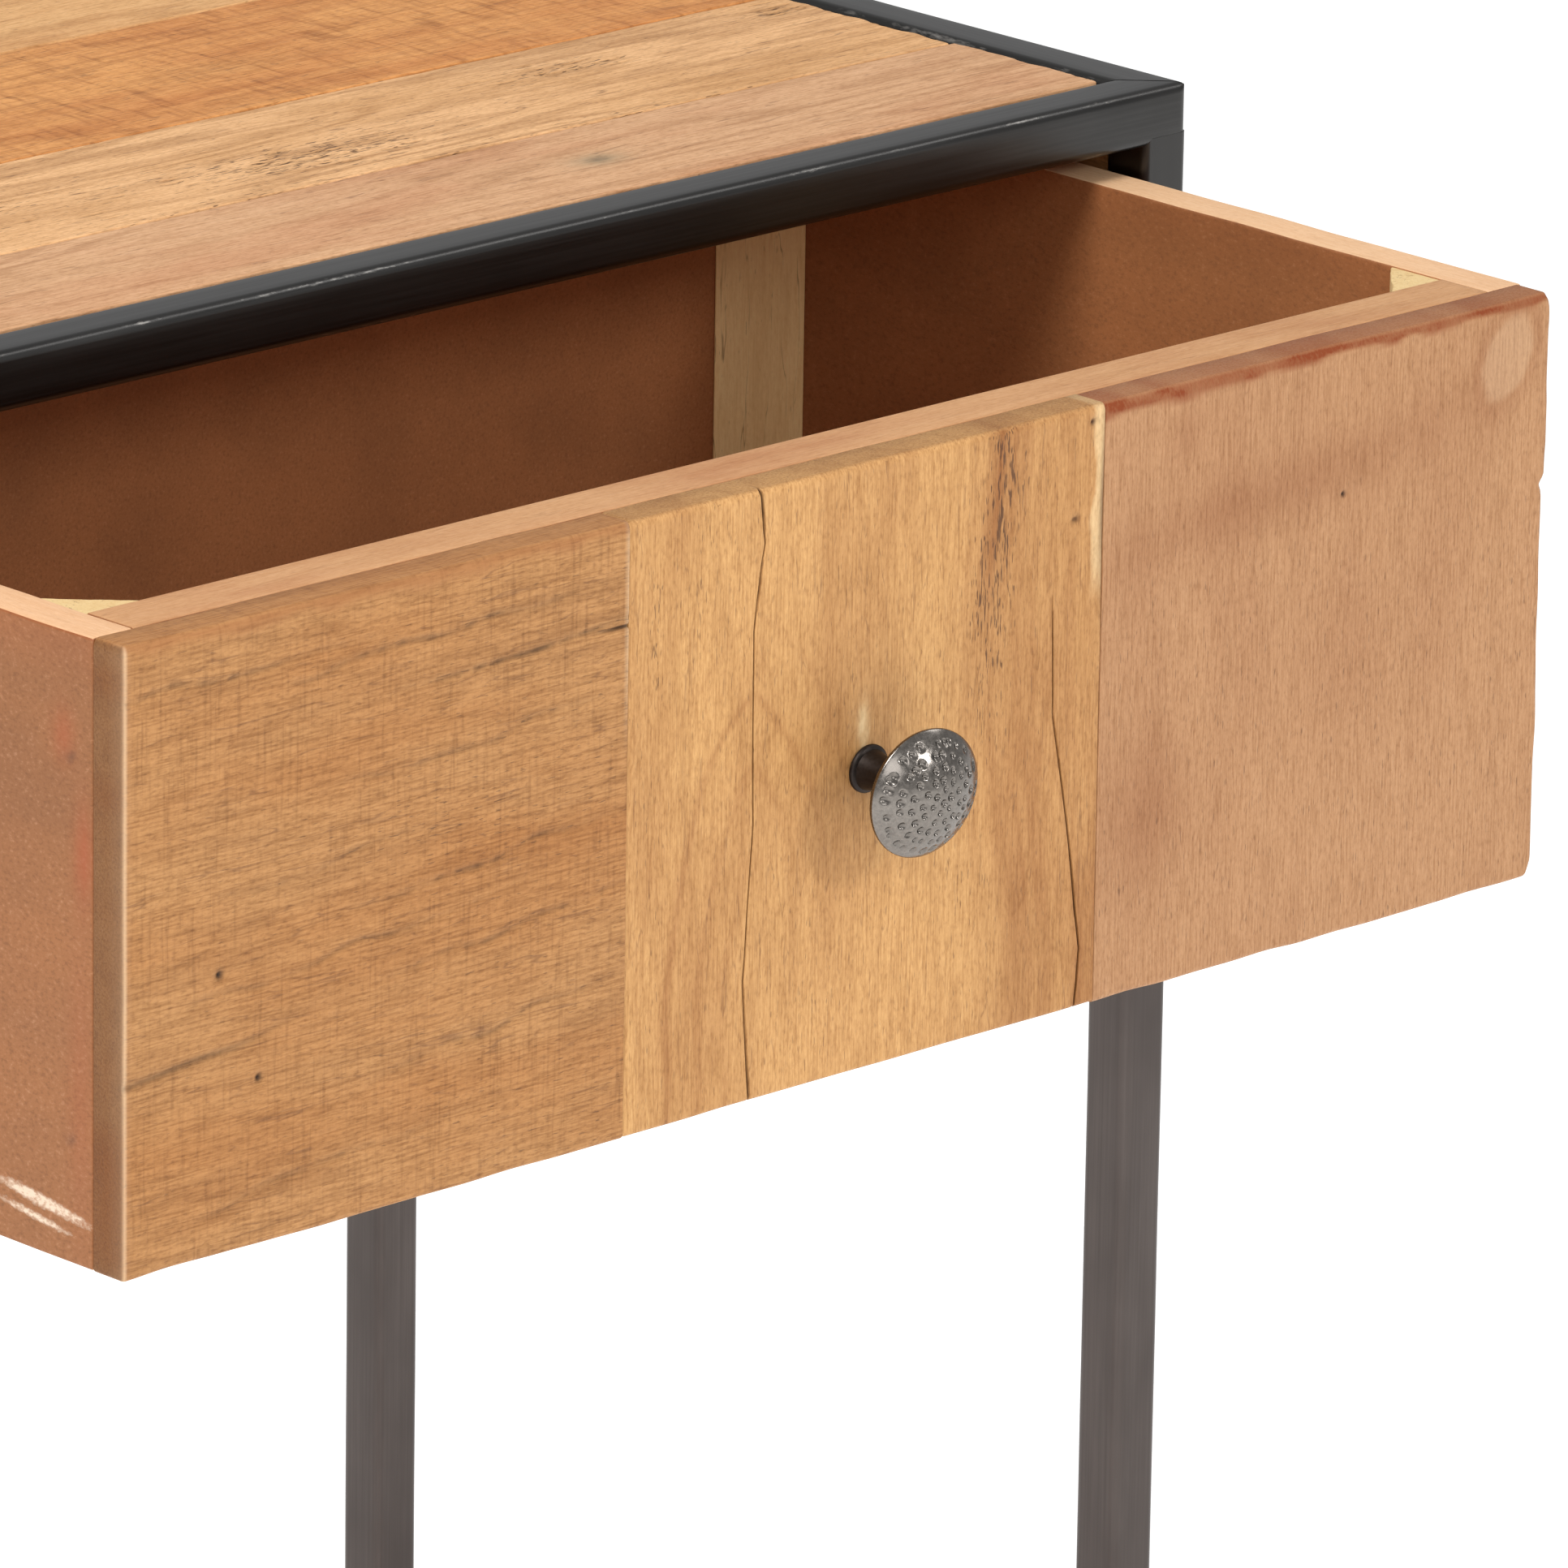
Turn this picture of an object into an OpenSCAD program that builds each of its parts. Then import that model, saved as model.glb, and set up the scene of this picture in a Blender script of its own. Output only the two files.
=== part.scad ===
// Side table with one drawer: a welded square-tube frame, a top of four reclaimed
// boards set flush inside it, panelled sides and back, and a wooden drawer that
// slides on plain wooden runners.
// +Z is up, the drawer front faces -Y, and the origin is on the floor at the centre
// of the table's outline with its drawer standing open.

/* [Table] */
// Width over the legs
table_w = 500; // [420:10:640]
// Depth over the legs
table_d = 300; // [260:5:380]
// Height from the floor to the table top
table_h = 600; // [450:10:750]

/* [Frame] */
// Outer width of the square tube
tube_w = 15; // [14:1:20]
// Wall of the square tube
tube_wall = 1.5; // [1:0.1:2]
// Corner radius of the square tube
tube_r = 1.6; // [0.5:0.1:2.5]
// Thickness of each foot plug's flange
foot_flange_t = 2; // [1.5:0.5:4]
// Length of the plug inside the leg
foot_plug_len = 12; // [8:1:20]
// Clearance between a foot plug and the tube's wall
foot_clear = 0.1; // [0.05:0.05:0.3]

/* [Top] */
// Thickness of the top boards
top_board_t = 12; // [10:0.5:14]
// Width of the first top board, counted from the front
top_board_1_w = 52.5; // [40:0.5:65]
// Width of the second top board
top_board_2_w = 65.5; // [50:0.5:80]
// Width of the third top board
top_board_3_w = 82.5; // [60:0.5:85]
// Gap between the boards and around them
board_gap = 0.4; // [0.2:0.1:1]
// Width of the flat support bars under the top
support_w = 20; // [15:1:30]
// Distance from the middle of the table to each support bar
support_x = 150; // [110:5:180]

/* [Side and back panels] */
// Thickness of the side boards
side_board_t = 12; // [9:0.5:12]
// Thickness of the back panel
back_panel_t = 6; // [4:0.5:8]
// Thickness of the steel fixing tabs
tab_t = 2; // [1.5:0.5:3]
// Width and height of the steel fixing tabs
tab_size = 20; // [16:1:26]

/* [Drawer] */
// Height of the drawer front
drawer_h = 150; // [110:5:190]
// Gap between the drawer front and each leg
drawer_side_gap = 3; // [2:0.5:4]
// Gap between the drawer front and the rail above it
drawer_top_gap = 7; // [5:0.5:10]
// Gap between the drawer front and the rail below it
drawer_bottom_gap = 2; // [1:0.5:4]
// How far the drawer stands open
drawer_open = 144; // [0:1:180]
// Space kept between the closed drawer and the table's rear face
drawer_rear_space = 20; // [16:1:30]
// Thickness of the face boards
face_t = 10.6; // [9:0.1:13]
// Thickness of the inner front board
sub_front_t = 16; // [12:0.5:20]
// Thickness of the drawer's sides and back
drawer_wall_t = 12; // [10:0.5:15]
// Thickness of the drawer's bottom
bottom_t = 4; // [3:0.5:6]
// Height of the drawer's bottom over the lower edge of its sides
bottom_lift = 8; // [6:0.5:14]
// Depth of the groove that holds the bottom
groove_depth = 5; // [3:0.5:7]
// Clearance between the bottom and its groove
groove_clear = 0.15; // [0.05:0.05:0.4]
// Leg length of the triangular corner blocks
block_leg = 17; // [12:1:22]

/* [Runners] */
// Width of the drawer runners
runner_w = 20; // [16:1:26]
// Height of the drawer runners
runner_h = 13.7; // [12:0.1:14.5]
// Clearance between the drawer and what it slides on
slide_clear = 0.3; // [0.2:0.05:0.6]
// Height of the side guides
guide_h = 20; // [14:1:30]

/* [Knob] */
// Diameter of the knob's head
knob_d = 32; // [26:1:38]
// Diameter of the knob's stem
knob_stem_d = 10.4; // [8:0.2:14]
// Length of the stem between the drawer front and the head
knob_stem_len = 17; // [12:1:24]
// Thickness of the head's rim
knob_rim_t = 3; // [2:0.5:5]
// Height of the dome over the rim
knob_dome_h = 7; // [4:0.5:10]

/* [Fasteners] */
// Radius of a wood screw's shank
screw_r = 1.7; // [1.5:0.1:2]
// Radius of a wood screw's head
screw_head_r = 3.5; // [3:0.1:4]
// Height of a wood screw's head
screw_head_h = 1.6; // [1.2:0.1:2]
// Radial clearance around a shank
screw_clear = 0.05; // [0.02:0.01:0.1]
// Radius of the knob's machine screw
knob_screw_r = 1.95; // [1.5:0.05:2.4]
// Radius of a drawer nail
nail_r = 0.9; // [0.7:0.1:1.2]

/* [Hidden] */
$fn = 48;
eps = 0.01;
screw_tip_gap = 0.5;
screw_head_clear = 0.5;
hole_past = 1;

// Table
leg_x = table_w / 2 - tube_w / 2;
inner_x = table_w / 2 - tube_w;
rail_under_z = table_h - tube_w;
tube_bore_r = max(0.3, tube_r - tube_wall);
plan_corner_r = tube_r;
foot_flange_inset = 0.5;

// Top boards, as distances back from the table's front face
top_board_w = [top_board_1_w, top_board_2_w, top_board_3_w,
               table_d - 2 * tube_w - top_board_1_w - top_board_2_w - top_board_3_w];
top_board_y = [tube_w, tube_w + top_board_w[0], tube_w + top_board_w[0] + top_board_w[1],
               tube_w + top_board_w[0] + top_board_w[1] + top_board_w[2]];
top_under_z = table_h - top_board_t;
support_t = tube_w - top_board_t;
top_screw_bite = 6;
top_screw_len = support_t + top_screw_bite;

// Drawer
drawer_w = table_w - 2 * tube_w - 2 * drawer_side_gap;
drawer_x = drawer_w / 2;
drawer_in_x = drawer_x - drawer_wall_t;
drawer_d = table_d - drawer_rear_space;
drawer_top_z = rail_under_z - drawer_top_gap;
drawer_z = drawer_top_z - drawer_h;
front_in_y = face_t + sub_front_t;
back_in_y = drawer_d - drawer_wall_t;
face_w = drawer_w / 3;
face_board_gap = 0.2;
groove_h = bottom_t + 2 * groove_clear;
block_base_z = bottom_lift + bottom_t + groove_clear;
block_top_drop = 0.5;
block_clear = 0.05;

// Lower rails, panels and tabs
low_rail_top = drawer_z - drawer_bottom_gap;
side_in_x = inner_x + tab_t;
side_board_d = (table_d - 2 * tube_w) / 2;
back_in_face = table_d - tube_w + tab_t;
tab_y = [tube_w + side_board_d / 2, table_d - tube_w - side_board_d / 2];
back_tab_inset = 60;
tab_x = inner_x - back_tab_inset;
tab_z = [low_rail_top + tab_size / 2, rail_under_z - tab_size / 2];
tab_screw_bite = 5;
tab_screw_len = tab_t + tab_screw_bite;
back_screw_len = back_panel_t - screw_tip_gap;

// Runners, guides and stops
runner_top_z = drawer_z - slide_clear;
runner_y = [tube_w, table_d - tube_w];
runner_screw_inset = 75;
runner_screw_y = [runner_screw_inset, table_d - runner_screw_inset];
runner_sink = 3;
runner_screw_len = runner_w - runner_sink + 2 * tube_wall;
guide_t = side_in_x - drawer_x - slide_clear;
guide_lift = 4;
guide_base_z = drawer_z + guide_lift;
guide_end_gap = 3;
guide_len = tab_y[1] - tab_y[0] - tab_size - 2 * guide_end_gap;
stop_w = 25;
stop_h = 20;
stop_lift = 20;
stop_base_z = drawer_z + stop_lift;
stop_inset = 45;
stop_x = drawer_x - stop_inset;
stop_t = back_in_face - drawer_d - slide_clear;

// Drawer fasteners
face_screw_inset = 37.5;
face_screw_z = [face_screw_inset, drawer_h - face_screw_inset];
face_screw_cover = 4;
face_screw_len = sub_front_t + face_t - face_screw_cover;
nail_len = 30;
nail_inset = 30;
nail_z = [nail_inset, drawer_h - nail_inset];
nail_front_y = face_t + sub_front_t / 2;
nail_back_y = drawer_d - drawer_wall_t / 2;

// Knob
knob_z = drawer_h / 2;
knob_reach = knob_stem_len + knob_rim_t + knob_dome_h;
knob_r = knob_d / 2;
dome_r = (knob_r * knob_r + knob_dome_h * knob_dome_h) / (2 * knob_dome_h);
knob_base_step = 0.8;
knob_base_r = knob_stem_d / 2 + knob_base_step;
knob_rim_edge_z = 1.8;
knob_base_t = 1.2;
knob_bore_len = 11;
knob_tip_gap = 1;
knob_screw_head_r = 4;
knob_screw_head_h = 2.4;
washer_r = 6;
washer_t = 1;

// Place of the table's front face, which centres the whole outline on the origin
total_d = table_d + drawer_open + knob_reach;
front_y = drawer_open + knob_reach - total_d / 2;

steel = [0.16, 0.16, 0.16];
steel_bare = [0.55, 0.55, 0.56];
plastic = [0.05, 0.05, 0.05];
wood_pink = [0.84, 0.67, 0.53];
wood_yellow = [0.84, 0.69, 0.49];
wood_orange = [0.86, 0.61, 0.37];
wood_pale = [0.88, 0.71, 0.49];
wood_left = [0.80, 0.59, 0.37];
wood_middle = [0.84, 0.65, 0.39];
wood_right = [0.75, 0.55, 0.41];
wood_side = [0.73, 0.49, 0.35];
wood_edge = [0.90, 0.74, 0.59];
board_brown = [0.47, 0.27, 0.18];
pewter = [0.43, 0.41, 0.39];

// ---- shared shapes ----

// Fixed pieces are drawn with y counted back from the table's front face.
module in_table() {
    translate([0, front_y, 0]) children();
}

// Drawer pieces are drawn with y counted back from the drawer's face and z up
// from the lower edge of its sides.
module in_drawer() {
    translate([0, front_y - drawer_open, drawer_z]) children();
}

module rounded_square(size, r) {
    square([size - 2 * r, size], center = true);
    square([size, size - 2 * r], center = true);
    for (sx = [-1, 1], sy = [-1, 1])
        translate([sx * (size / 2 - r), sy * (size / 2 - r)]) circle(r);
}

module tube_section() {
    difference() {
        rounded_square(tube_w, tube_r);
        rounded_square(tube_w - 2 * tube_wall, tube_bore_r);
    }
}

module tube_along_z(len) {
    linear_extrude(len) tube_section();
}

module tube_along_x(len) {
    translate([-len / 2, 0, 0]) rotate([90, 0, 90]) linear_extrude(len) tube_section();
}

module tube_along_y(len) {
    rotate([-90, 0, 0]) linear_extrude(len) tube_section();
}

// Outline of the whole frame seen from above, with its rounded corners.
module frame_plan() {
    r = plan_corner_r;
    translate([-table_w / 2, r]) square([table_w, table_d - 2 * r]);
    translate([-table_w / 2 + r, 0]) square([table_w - 2 * r, table_d]);
    for (x = [-table_w / 2 + r, table_w / 2 - r], y = [r, table_d - r])
        translate([x, y]) circle(r);
}

module mitre_plan_front() {
    w = table_w / 2;
    polygon([[-w, 0], [w, 0], [w - tube_w, tube_w], [-w + tube_w, tube_w]]);
}

module mitre_plan_right() {
    w = table_w / 2;
    polygon([[w, 0], [w, table_d], [w - tube_w, table_d - tube_w], [w - tube_w, tube_w]]);
}

module wood_screw(len) {
    cylinder(h = len, r = screw_r);
    translate([0, 0, -screw_head_h]) cylinder(h = screw_head_h, r = screw_head_r);
}

module pilot(len) {
    translate([0, 0, -eps]) cylinder(h = len + eps, r = screw_r + screw_clear);
}

module box(low, high) {
    translate(low) cube(high - low);
}

// ---- welded frame ----

module leg(sx, y) {
    color(steel) in_table() translate([sx * leg_x, y, foot_flange_t])
        tube_along_z(rail_under_z - foot_flange_t);
}

module top_rail_long() {
    intersection() {
        translate([0, tube_w / 2, table_h - tube_w / 2]) tube_along_x(table_w);
        linear_extrude(table_h) mitre_plan_front();
        linear_extrude(table_h) frame_plan();
    }
}

module top_rail_short() {
    intersection() {
        translate([leg_x, 0, table_h - tube_w / 2]) tube_along_y(table_d);
        linear_extrude(table_h) mitre_plan_right();
        linear_extrude(table_h) frame_plan();
    }
}

module from_rear() {
    translate([0, table_d, 0]) mirror([0, 1, 0]) children();
}

module from_left() {
    mirror([1, 0, 0]) children();
}

module low_rail_long(y) {
    translate([0, y, low_rail_top - tube_w / 2]) tube_along_x(2 * inner_x);
}

module low_rail_short() {
    difference() {
        translate([leg_x, tube_w, low_rail_top - tube_w / 2])
            tube_along_y(table_d - 2 * tube_w);
        at_runner_screws() pilot(runner_screw_len + tube_wall);
    }
}

module foot(sx, y) {
    plug = tube_w - 2 * tube_wall - 2 * foot_clear;
    color(plastic) in_table() translate([sx * leg_x, y, 0]) {
        linear_extrude(foot_flange_t) rounded_square(tube_w - 2 * foot_flange_inset, tube_r);
        translate([0, 0, foot_flange_t]) linear_extrude(foot_plug_len)
            square(plug, center = true);
    }
}

module leg_front_left() { leg(-1, tube_w / 2); }
module leg_front_right() { leg(1, tube_w / 2); }
module leg_rear_left() { leg(-1, table_d - tube_w / 2); }
module leg_rear_right() { leg(1, table_d - tube_w / 2); }
module top_rail_front() { color(steel) in_table() top_rail_long(); }
module top_rail_rear() { color(steel) in_table() from_rear() top_rail_long(); }
module top_rail_left() { color(steel) in_table() from_left() top_rail_short(); }
module top_rail_right() { color(steel) in_table() top_rail_short(); }
module low_rail_front() { color(steel) in_table() low_rail_long(tube_w / 2); }
module low_rail_rear() { color(steel) in_table() low_rail_long(table_d - tube_w / 2); }
module low_rail_left() { color(steel) in_table() from_left() low_rail_short(); }
module low_rail_right() { color(steel) in_table() low_rail_short(); }
module foot_front_left() { foot(-1, tube_w / 2); }
module foot_front_right() { foot(1, tube_w / 2); }
module foot_rear_left() { foot(-1, table_d - tube_w / 2); }
module foot_rear_right() { foot(1, table_d - tube_w / 2); }

// ---- top ----

module at_top_screws() {
    for (sx = [-1, 1], i = [0 : 3])
        translate([sx * support_x, top_board_y[i] + top_board_w[i] / 2, rail_under_z])
            children();
}

module top_board(i) {
    gap = board_gap / 2;
    in_table() difference() {
        box([-inner_x + board_gap, top_board_y[i] + gap, top_under_z],
            [inner_x - board_gap, top_board_y[i] + top_board_w[i] - gap, table_h]);
        at_top_screws() pilot(top_screw_len);
    }
}

module top_support(sx) {
    color(steel) in_table() difference() {
        translate([sx * support_x - support_w / 2, tube_w, rail_under_z])
            cube([support_w, table_d - 2 * tube_w, support_t]);
        at_top_screws() pilot(top_screw_len);
    }
}

module top_board_1() { color(wood_pink) top_board(0); }
module top_board_2() { color(wood_yellow) top_board(1); }
module top_board_3() { color(wood_orange) top_board(2); }
module top_board_4() { color(wood_pale) top_board(3); }
module top_support_left() { top_support(-1); }
module top_support_right() { top_support(1); }
module top_screws() {
    color(steel_bare) in_table() at_top_screws() wood_screw(top_screw_len - screw_tip_gap);
}

// ---- side and back panels ----

module at_side_tabs() {
    for (y = tab_y, z = tab_z) translate([inner_x, y, z]) rotate([0, 90, 0]) children();
}

module at_back_tabs() {
    for (x = [-tab_x, tab_x], z = tab_z)
        translate([x, table_d - tube_w, z]) rotate([-90, 0, 0]) children();
}

module side_board(y) {
    gap = board_gap / 2;
    difference() {
        box([side_in_x, y + gap, low_rail_top + gap],
            [side_in_x + side_board_t, y + side_board_d - gap, rail_under_z - gap]);
        at_side_tabs() pilot(tab_screw_len);
    }
}

module tab_plate() {
    difference() {
        translate([-tab_size / 2, -tab_size / 2, 0]) cube([tab_size, tab_size, tab_t]);
        pilot(tab_t + hole_past);
    }
}

module side_board_left_front() { color(wood_side) in_table() from_left() side_board(tube_w); }
module side_board_left_rear() {
    color(wood_middle) in_table() from_left() side_board(tube_w + side_board_d);
}
module side_board_right_front() { color(wood_middle) in_table() side_board(tube_w); }
module side_board_right_rear() {
    color(wood_right) in_table() side_board(tube_w + side_board_d);
}

module back_panel() {
    gap = board_gap / 2;
    color(board_brown) in_table() difference() {
        box([-inner_x + gap, back_in_face, low_rail_top + gap],
            [inner_x - gap, back_in_face + back_panel_t, rail_under_z - gap]);
        at_back_tabs() pilot(tab_t + back_screw_len);
    }
}

module side_tabs() {
    color(steel) in_table() {
        at_side_tabs() tab_plate();
        from_left() at_side_tabs() tab_plate();
    }
}

module back_tabs() {
    color(steel) in_table() at_back_tabs() tab_plate();
}

module panel_screws() {
    color(steel_bare) in_table() {
        at_side_tabs() wood_screw(tab_screw_len - screw_tip_gap);
        from_left() at_side_tabs() wood_screw(tab_screw_len - screw_tip_gap);
        at_back_tabs() wood_screw(back_screw_len);
    }
}

// ---- runners, guides and stops ----

module at_runner_screws() {
    for (y = runner_screw_y)
        translate([inner_x - runner_w + runner_sink, y, runner_top_z - runner_h / 2])
            rotate([0, 90, 0]) children();
}

module runner() {
    difference() {
        box([inner_x - runner_w, runner_y[0], runner_top_z - runner_h],
            [inner_x, runner_y[1], runner_top_z]);
        at_runner_screws() {
            pilot(runner_w);
            translate([0, 0, -runner_sink - eps])
                cylinder(h = runner_sink + eps, r = screw_head_r + screw_head_clear);
        }
    }
}

module guide() {
    translate([drawer_x + slide_clear, (table_d - guide_len) / 2, guide_base_z])
        cube([guide_t, guide_len, guide_h]);
}

module runner_left() { color(wood_edge) in_table() from_left() runner(); }
module runner_right() { color(wood_edge) in_table() runner(); }
module guide_left() { color(wood_edge) in_table() from_left() guide(); }
module guide_right() { color(wood_edge) in_table() guide(); }

module runner_screws() {
    color(steel_bare) in_table() {
        at_runner_screws() wood_screw(runner_screw_len);
        from_left() at_runner_screws() wood_screw(runner_screw_len);
    }
}

module drawer_stops() {
    color(wood_edge) in_table() for (sx = [-1, 1])
        translate([sx * stop_x - stop_w / 2, drawer_d + slide_clear, stop_base_z])
            cube([stop_w, stop_t, stop_h]);
}

// ---- drawer ----

module at_face_screws() {
    for (i = [-1, 0, 1], z = face_screw_z)
        translate([i * face_w, front_in_y, z]) rotate([90, 0, 0]) children();
}

module at_knob_screw() {
    translate([0, front_in_y + washer_t, knob_z]) rotate([90, 0, 0]) children();
}

module knob_hole() {
    at_knob_screw() cylinder(h = front_in_y + washer_t + eps, r = knob_screw_r + screw_clear);
}

module at_drawer_nails() {
    for (y = [nail_front_y, nail_back_y], z = nail_z)
        translate([drawer_x, y, z]) rotate([0, -90, 0]) children();
}

module nail_hole() {
    cylinder(h = nail_len + hole_past, r = nail_r + screw_clear);
}

module both_sides() {
    children();
    from_left() children();
}

// The groove for the bottom, as one flat slab that is cut from all four walls.
module bottom_slab(side) {
    edge = groove_depth + side;
    box([-drawer_in_x - edge, front_in_y - edge, bottom_lift - groove_clear - side],
        [drawer_in_x + edge, back_in_y + edge, bottom_lift - groove_clear + groove_h + side]);
}

module face_board(i) {
    gap = face_board_gap / 2;
    in_drawer() difference() {
        box([(i - 0.5) * face_w + gap, 0, 0], [(i + 0.5) * face_w - gap, face_t, drawer_h]);
        at_face_screws() pilot(face_screw_len + screw_tip_gap);
        knob_hole();
    }
}

module face_board_left() { color(wood_left) face_board(-1); }
module face_board_middle() { color(wood_middle) face_board(0); }
module face_board_right() { color(wood_right) face_board(1); }

module sub_front() {
    color(wood_edge) in_drawer() difference() {
        box([-drawer_in_x, face_t, 0], [drawer_in_x, front_in_y, drawer_h]);
        bottom_slab(0);
        at_face_screws() pilot(sub_front_t + hole_past);
        knob_hole();
        both_sides() at_drawer_nails() nail_hole();
    }
}

module drawer_side() {
    difference() {
        box([drawer_in_x, face_t, 0], [drawer_x, drawer_d, drawer_h]);
        bottom_slab(0);
        at_drawer_nails() translate([0, 0, -eps]) nail_hole();
    }
}

module drawer_side_left() { color(wood_side) in_drawer() from_left() drawer_side(); }
module drawer_side_right() { color(wood_side) in_drawer() drawer_side(); }

module drawer_back() {
    color(board_brown) in_drawer() difference() {
        box([-drawer_in_x, back_in_y, 0], [drawer_in_x, drawer_d, drawer_h]);
        bottom_slab(0);
        both_sides() at_drawer_nails() nail_hole();
    }
}

module drawer_bottom() {
    color(board_brown) in_drawer() bottom_slab(-groove_clear);
}

module block_prism() {
    leg = block_leg;
    linear_extrude(drawer_h - block_base_z - block_top_drop)
        polygon([[0, 0], [leg, 0], [0, leg]]);
}

module block_front() {
    color(wood_pale) in_drawer()
        translate([-drawer_in_x + block_clear, front_in_y + block_clear, block_base_z])
            block_prism();
}

module block_rear() {
    color(wood_pale) in_drawer()
        translate([-drawer_in_x + block_clear, back_in_y - block_clear, block_base_z])
            mirror([0, 1, 0]) block_prism();
}

module block_front_left() { block_front(); }
module block_front_right() { from_left() block_front(); }
module block_rear_left() { block_rear(); }
module block_rear_right() { from_left() block_rear(); }

module face_screws() {
    color(steel_bare) in_drawer() at_face_screws() wood_screw(face_screw_len);
}

module drawer_nails() {
    color(steel_bare) in_drawer() both_sides() at_drawer_nails()
        cylinder(h = nail_len, r = nail_r);
}

// ---- knob ----

// Knob pieces are turned about an axis that runs out of the drawer front.
module on_knob_axis(out) {
    in_drawer() translate([0, -out, knob_z]) rotate([90, 0, 0]) children();
}

// Half outline of the head: a flat back with a soft edge, a rim and a domed front.
module head_outline() {
    steps = 24;
    dome_half = asin(knob_r / dome_r);
    centre = knob_rim_t + knob_dome_h - dome_r;
    polygon(concat(
        [[0, 0], [knob_r - knob_rim_t, 0], [knob_r, knob_rim_edge_z]],
        [for (i = [0 : steps - 1]) let (a = dome_half * (1 - i / steps))
            [dome_r * sin(a), centre + dome_r * cos(a)]],
        [[0, knob_rim_t + knob_dome_h]]));
}

module knob_head() {
    color(pewter) on_knob_axis(knob_stem_len) rotate_extrude($fn = 96) head_outline();
}

module knob_stem() {
    color(steel) on_knob_axis(0) difference() {
        union() {
            cylinder(h = knob_stem_len, r = knob_stem_d / 2);
            cylinder(h = knob_base_t, r = knob_base_r);
        }
        translate([0, 0, -eps])
            cylinder(h = knob_bore_len + eps, r = knob_screw_r + screw_clear);
    }
}

module knob_screw() {
    color(steel_bare) in_drawer() at_knob_screw() {
        cylinder(h = front_in_y + washer_t + knob_bore_len - knob_tip_gap, r = knob_screw_r);
        translate([0, 0, -knob_screw_head_h])
            cylinder(h = knob_screw_head_h, r = knob_screw_head_r);
    }
}

module knob_washer() {
    color(steel_bare) in_drawer() at_knob_screw() difference() {
        cylinder(h = washer_t, r = washer_r);
        translate([0, 0, -eps]) cylinder(h = washer_t + 2 * eps, r = knob_screw_r + screw_clear);
    }
}

leg_front_left();
leg_front_right();
leg_rear_left();
leg_rear_right();
top_rail_front();
top_rail_rear();
top_rail_left();
top_rail_right();
low_rail_front();
low_rail_rear();
low_rail_left();
low_rail_right();
foot_front_left();
foot_front_right();
foot_rear_left();
foot_rear_right();
top_board_1();
top_board_2();
top_board_3();
top_board_4();
top_support_left();
top_support_right();
top_screws();
side_board_left_front();
side_board_left_rear();
side_board_right_front();
side_board_right_rear();
back_panel();
side_tabs();
back_tabs();
panel_screws();
runner_left();
runner_right();
runner_screws();
guide_left();
guide_right();
drawer_stops();
face_board_left();
face_board_middle();
face_board_right();
sub_front();
drawer_side_left();
drawer_side_right();
drawer_back();
drawer_bottom();
block_front_left();
block_front_right();
block_rear_left();
block_rear_right();
face_screws();
drawer_nails();
knob_head();
knob_stem();
knob_screw();
knob_washer();
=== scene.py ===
"""Side table with one drawer: a welded square-tube frame, a top of four reclaimed boards
set flush inside it, boarded sides and back, and a wooden drawer with a hammered knob.

Every size is in millimetres until a mesh is made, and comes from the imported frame.
"""
import math

import bpy
import numpy as np
from bpy.props import FloatProperty, FloatVectorProperty, IntProperty, PointerProperty
from mathutils import Matrix, Vector


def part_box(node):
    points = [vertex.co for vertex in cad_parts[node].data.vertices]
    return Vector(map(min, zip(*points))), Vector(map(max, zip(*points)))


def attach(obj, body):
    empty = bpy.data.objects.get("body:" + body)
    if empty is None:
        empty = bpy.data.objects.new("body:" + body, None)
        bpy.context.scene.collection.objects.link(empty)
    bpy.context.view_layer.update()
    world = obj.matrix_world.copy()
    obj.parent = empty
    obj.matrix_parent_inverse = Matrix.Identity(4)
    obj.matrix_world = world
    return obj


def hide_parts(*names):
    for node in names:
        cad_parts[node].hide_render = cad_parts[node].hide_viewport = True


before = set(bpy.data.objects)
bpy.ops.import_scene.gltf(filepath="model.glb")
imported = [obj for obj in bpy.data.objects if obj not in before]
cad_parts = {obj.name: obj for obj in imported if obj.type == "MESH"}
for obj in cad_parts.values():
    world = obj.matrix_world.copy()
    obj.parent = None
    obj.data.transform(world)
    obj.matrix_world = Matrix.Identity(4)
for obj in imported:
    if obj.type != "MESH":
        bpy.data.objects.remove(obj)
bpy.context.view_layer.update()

bl_info = {
    "name": "Side Table with Drawer",
    "version": (1, 0, 0),
    "blender": (4, 5, 0),
    "location": "View3D > Sidebar > Side Table",
    "description": "Builds a steel and reclaimed wood side table around its packed frame",
    "category": "Add Mesh",
}

MM = 0.001


# ---- colours and nodes ----

# what a board's mesh says of each place, and how much of it goes on down the board's edges:
# cracks and holes, paler edges, worm-eaten pores, warm stains, and paint or rubbed patches
MARKS = {"dark": 0, "pale": 0, "dash": 0.35, "warm": 0.6, "tint": 0.6}


def linear(hex_colour):
    """Linear RGB of an sRGB hex colour."""
    values = [int(hex_colour[i:i + 2], 16) / 255 for i in (1, 3, 5)]
    return tuple(v / 12.92 if v <= 0.04045 else ((v + 0.055) / 1.055) ** 2.4 for v in values)


def rgba(colour):
    """Four numbers for a colour socket, from a hex string or three linear numbers."""
    return (*(linear(colour) if isinstance(colour, str) else tuple(colour)), 1.0)


def dimmed(colour, factor):
    """A colour of four numbers made darker or lighter."""
    return rgba([min(1, c * factor) for c in colour[:3]])


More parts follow.
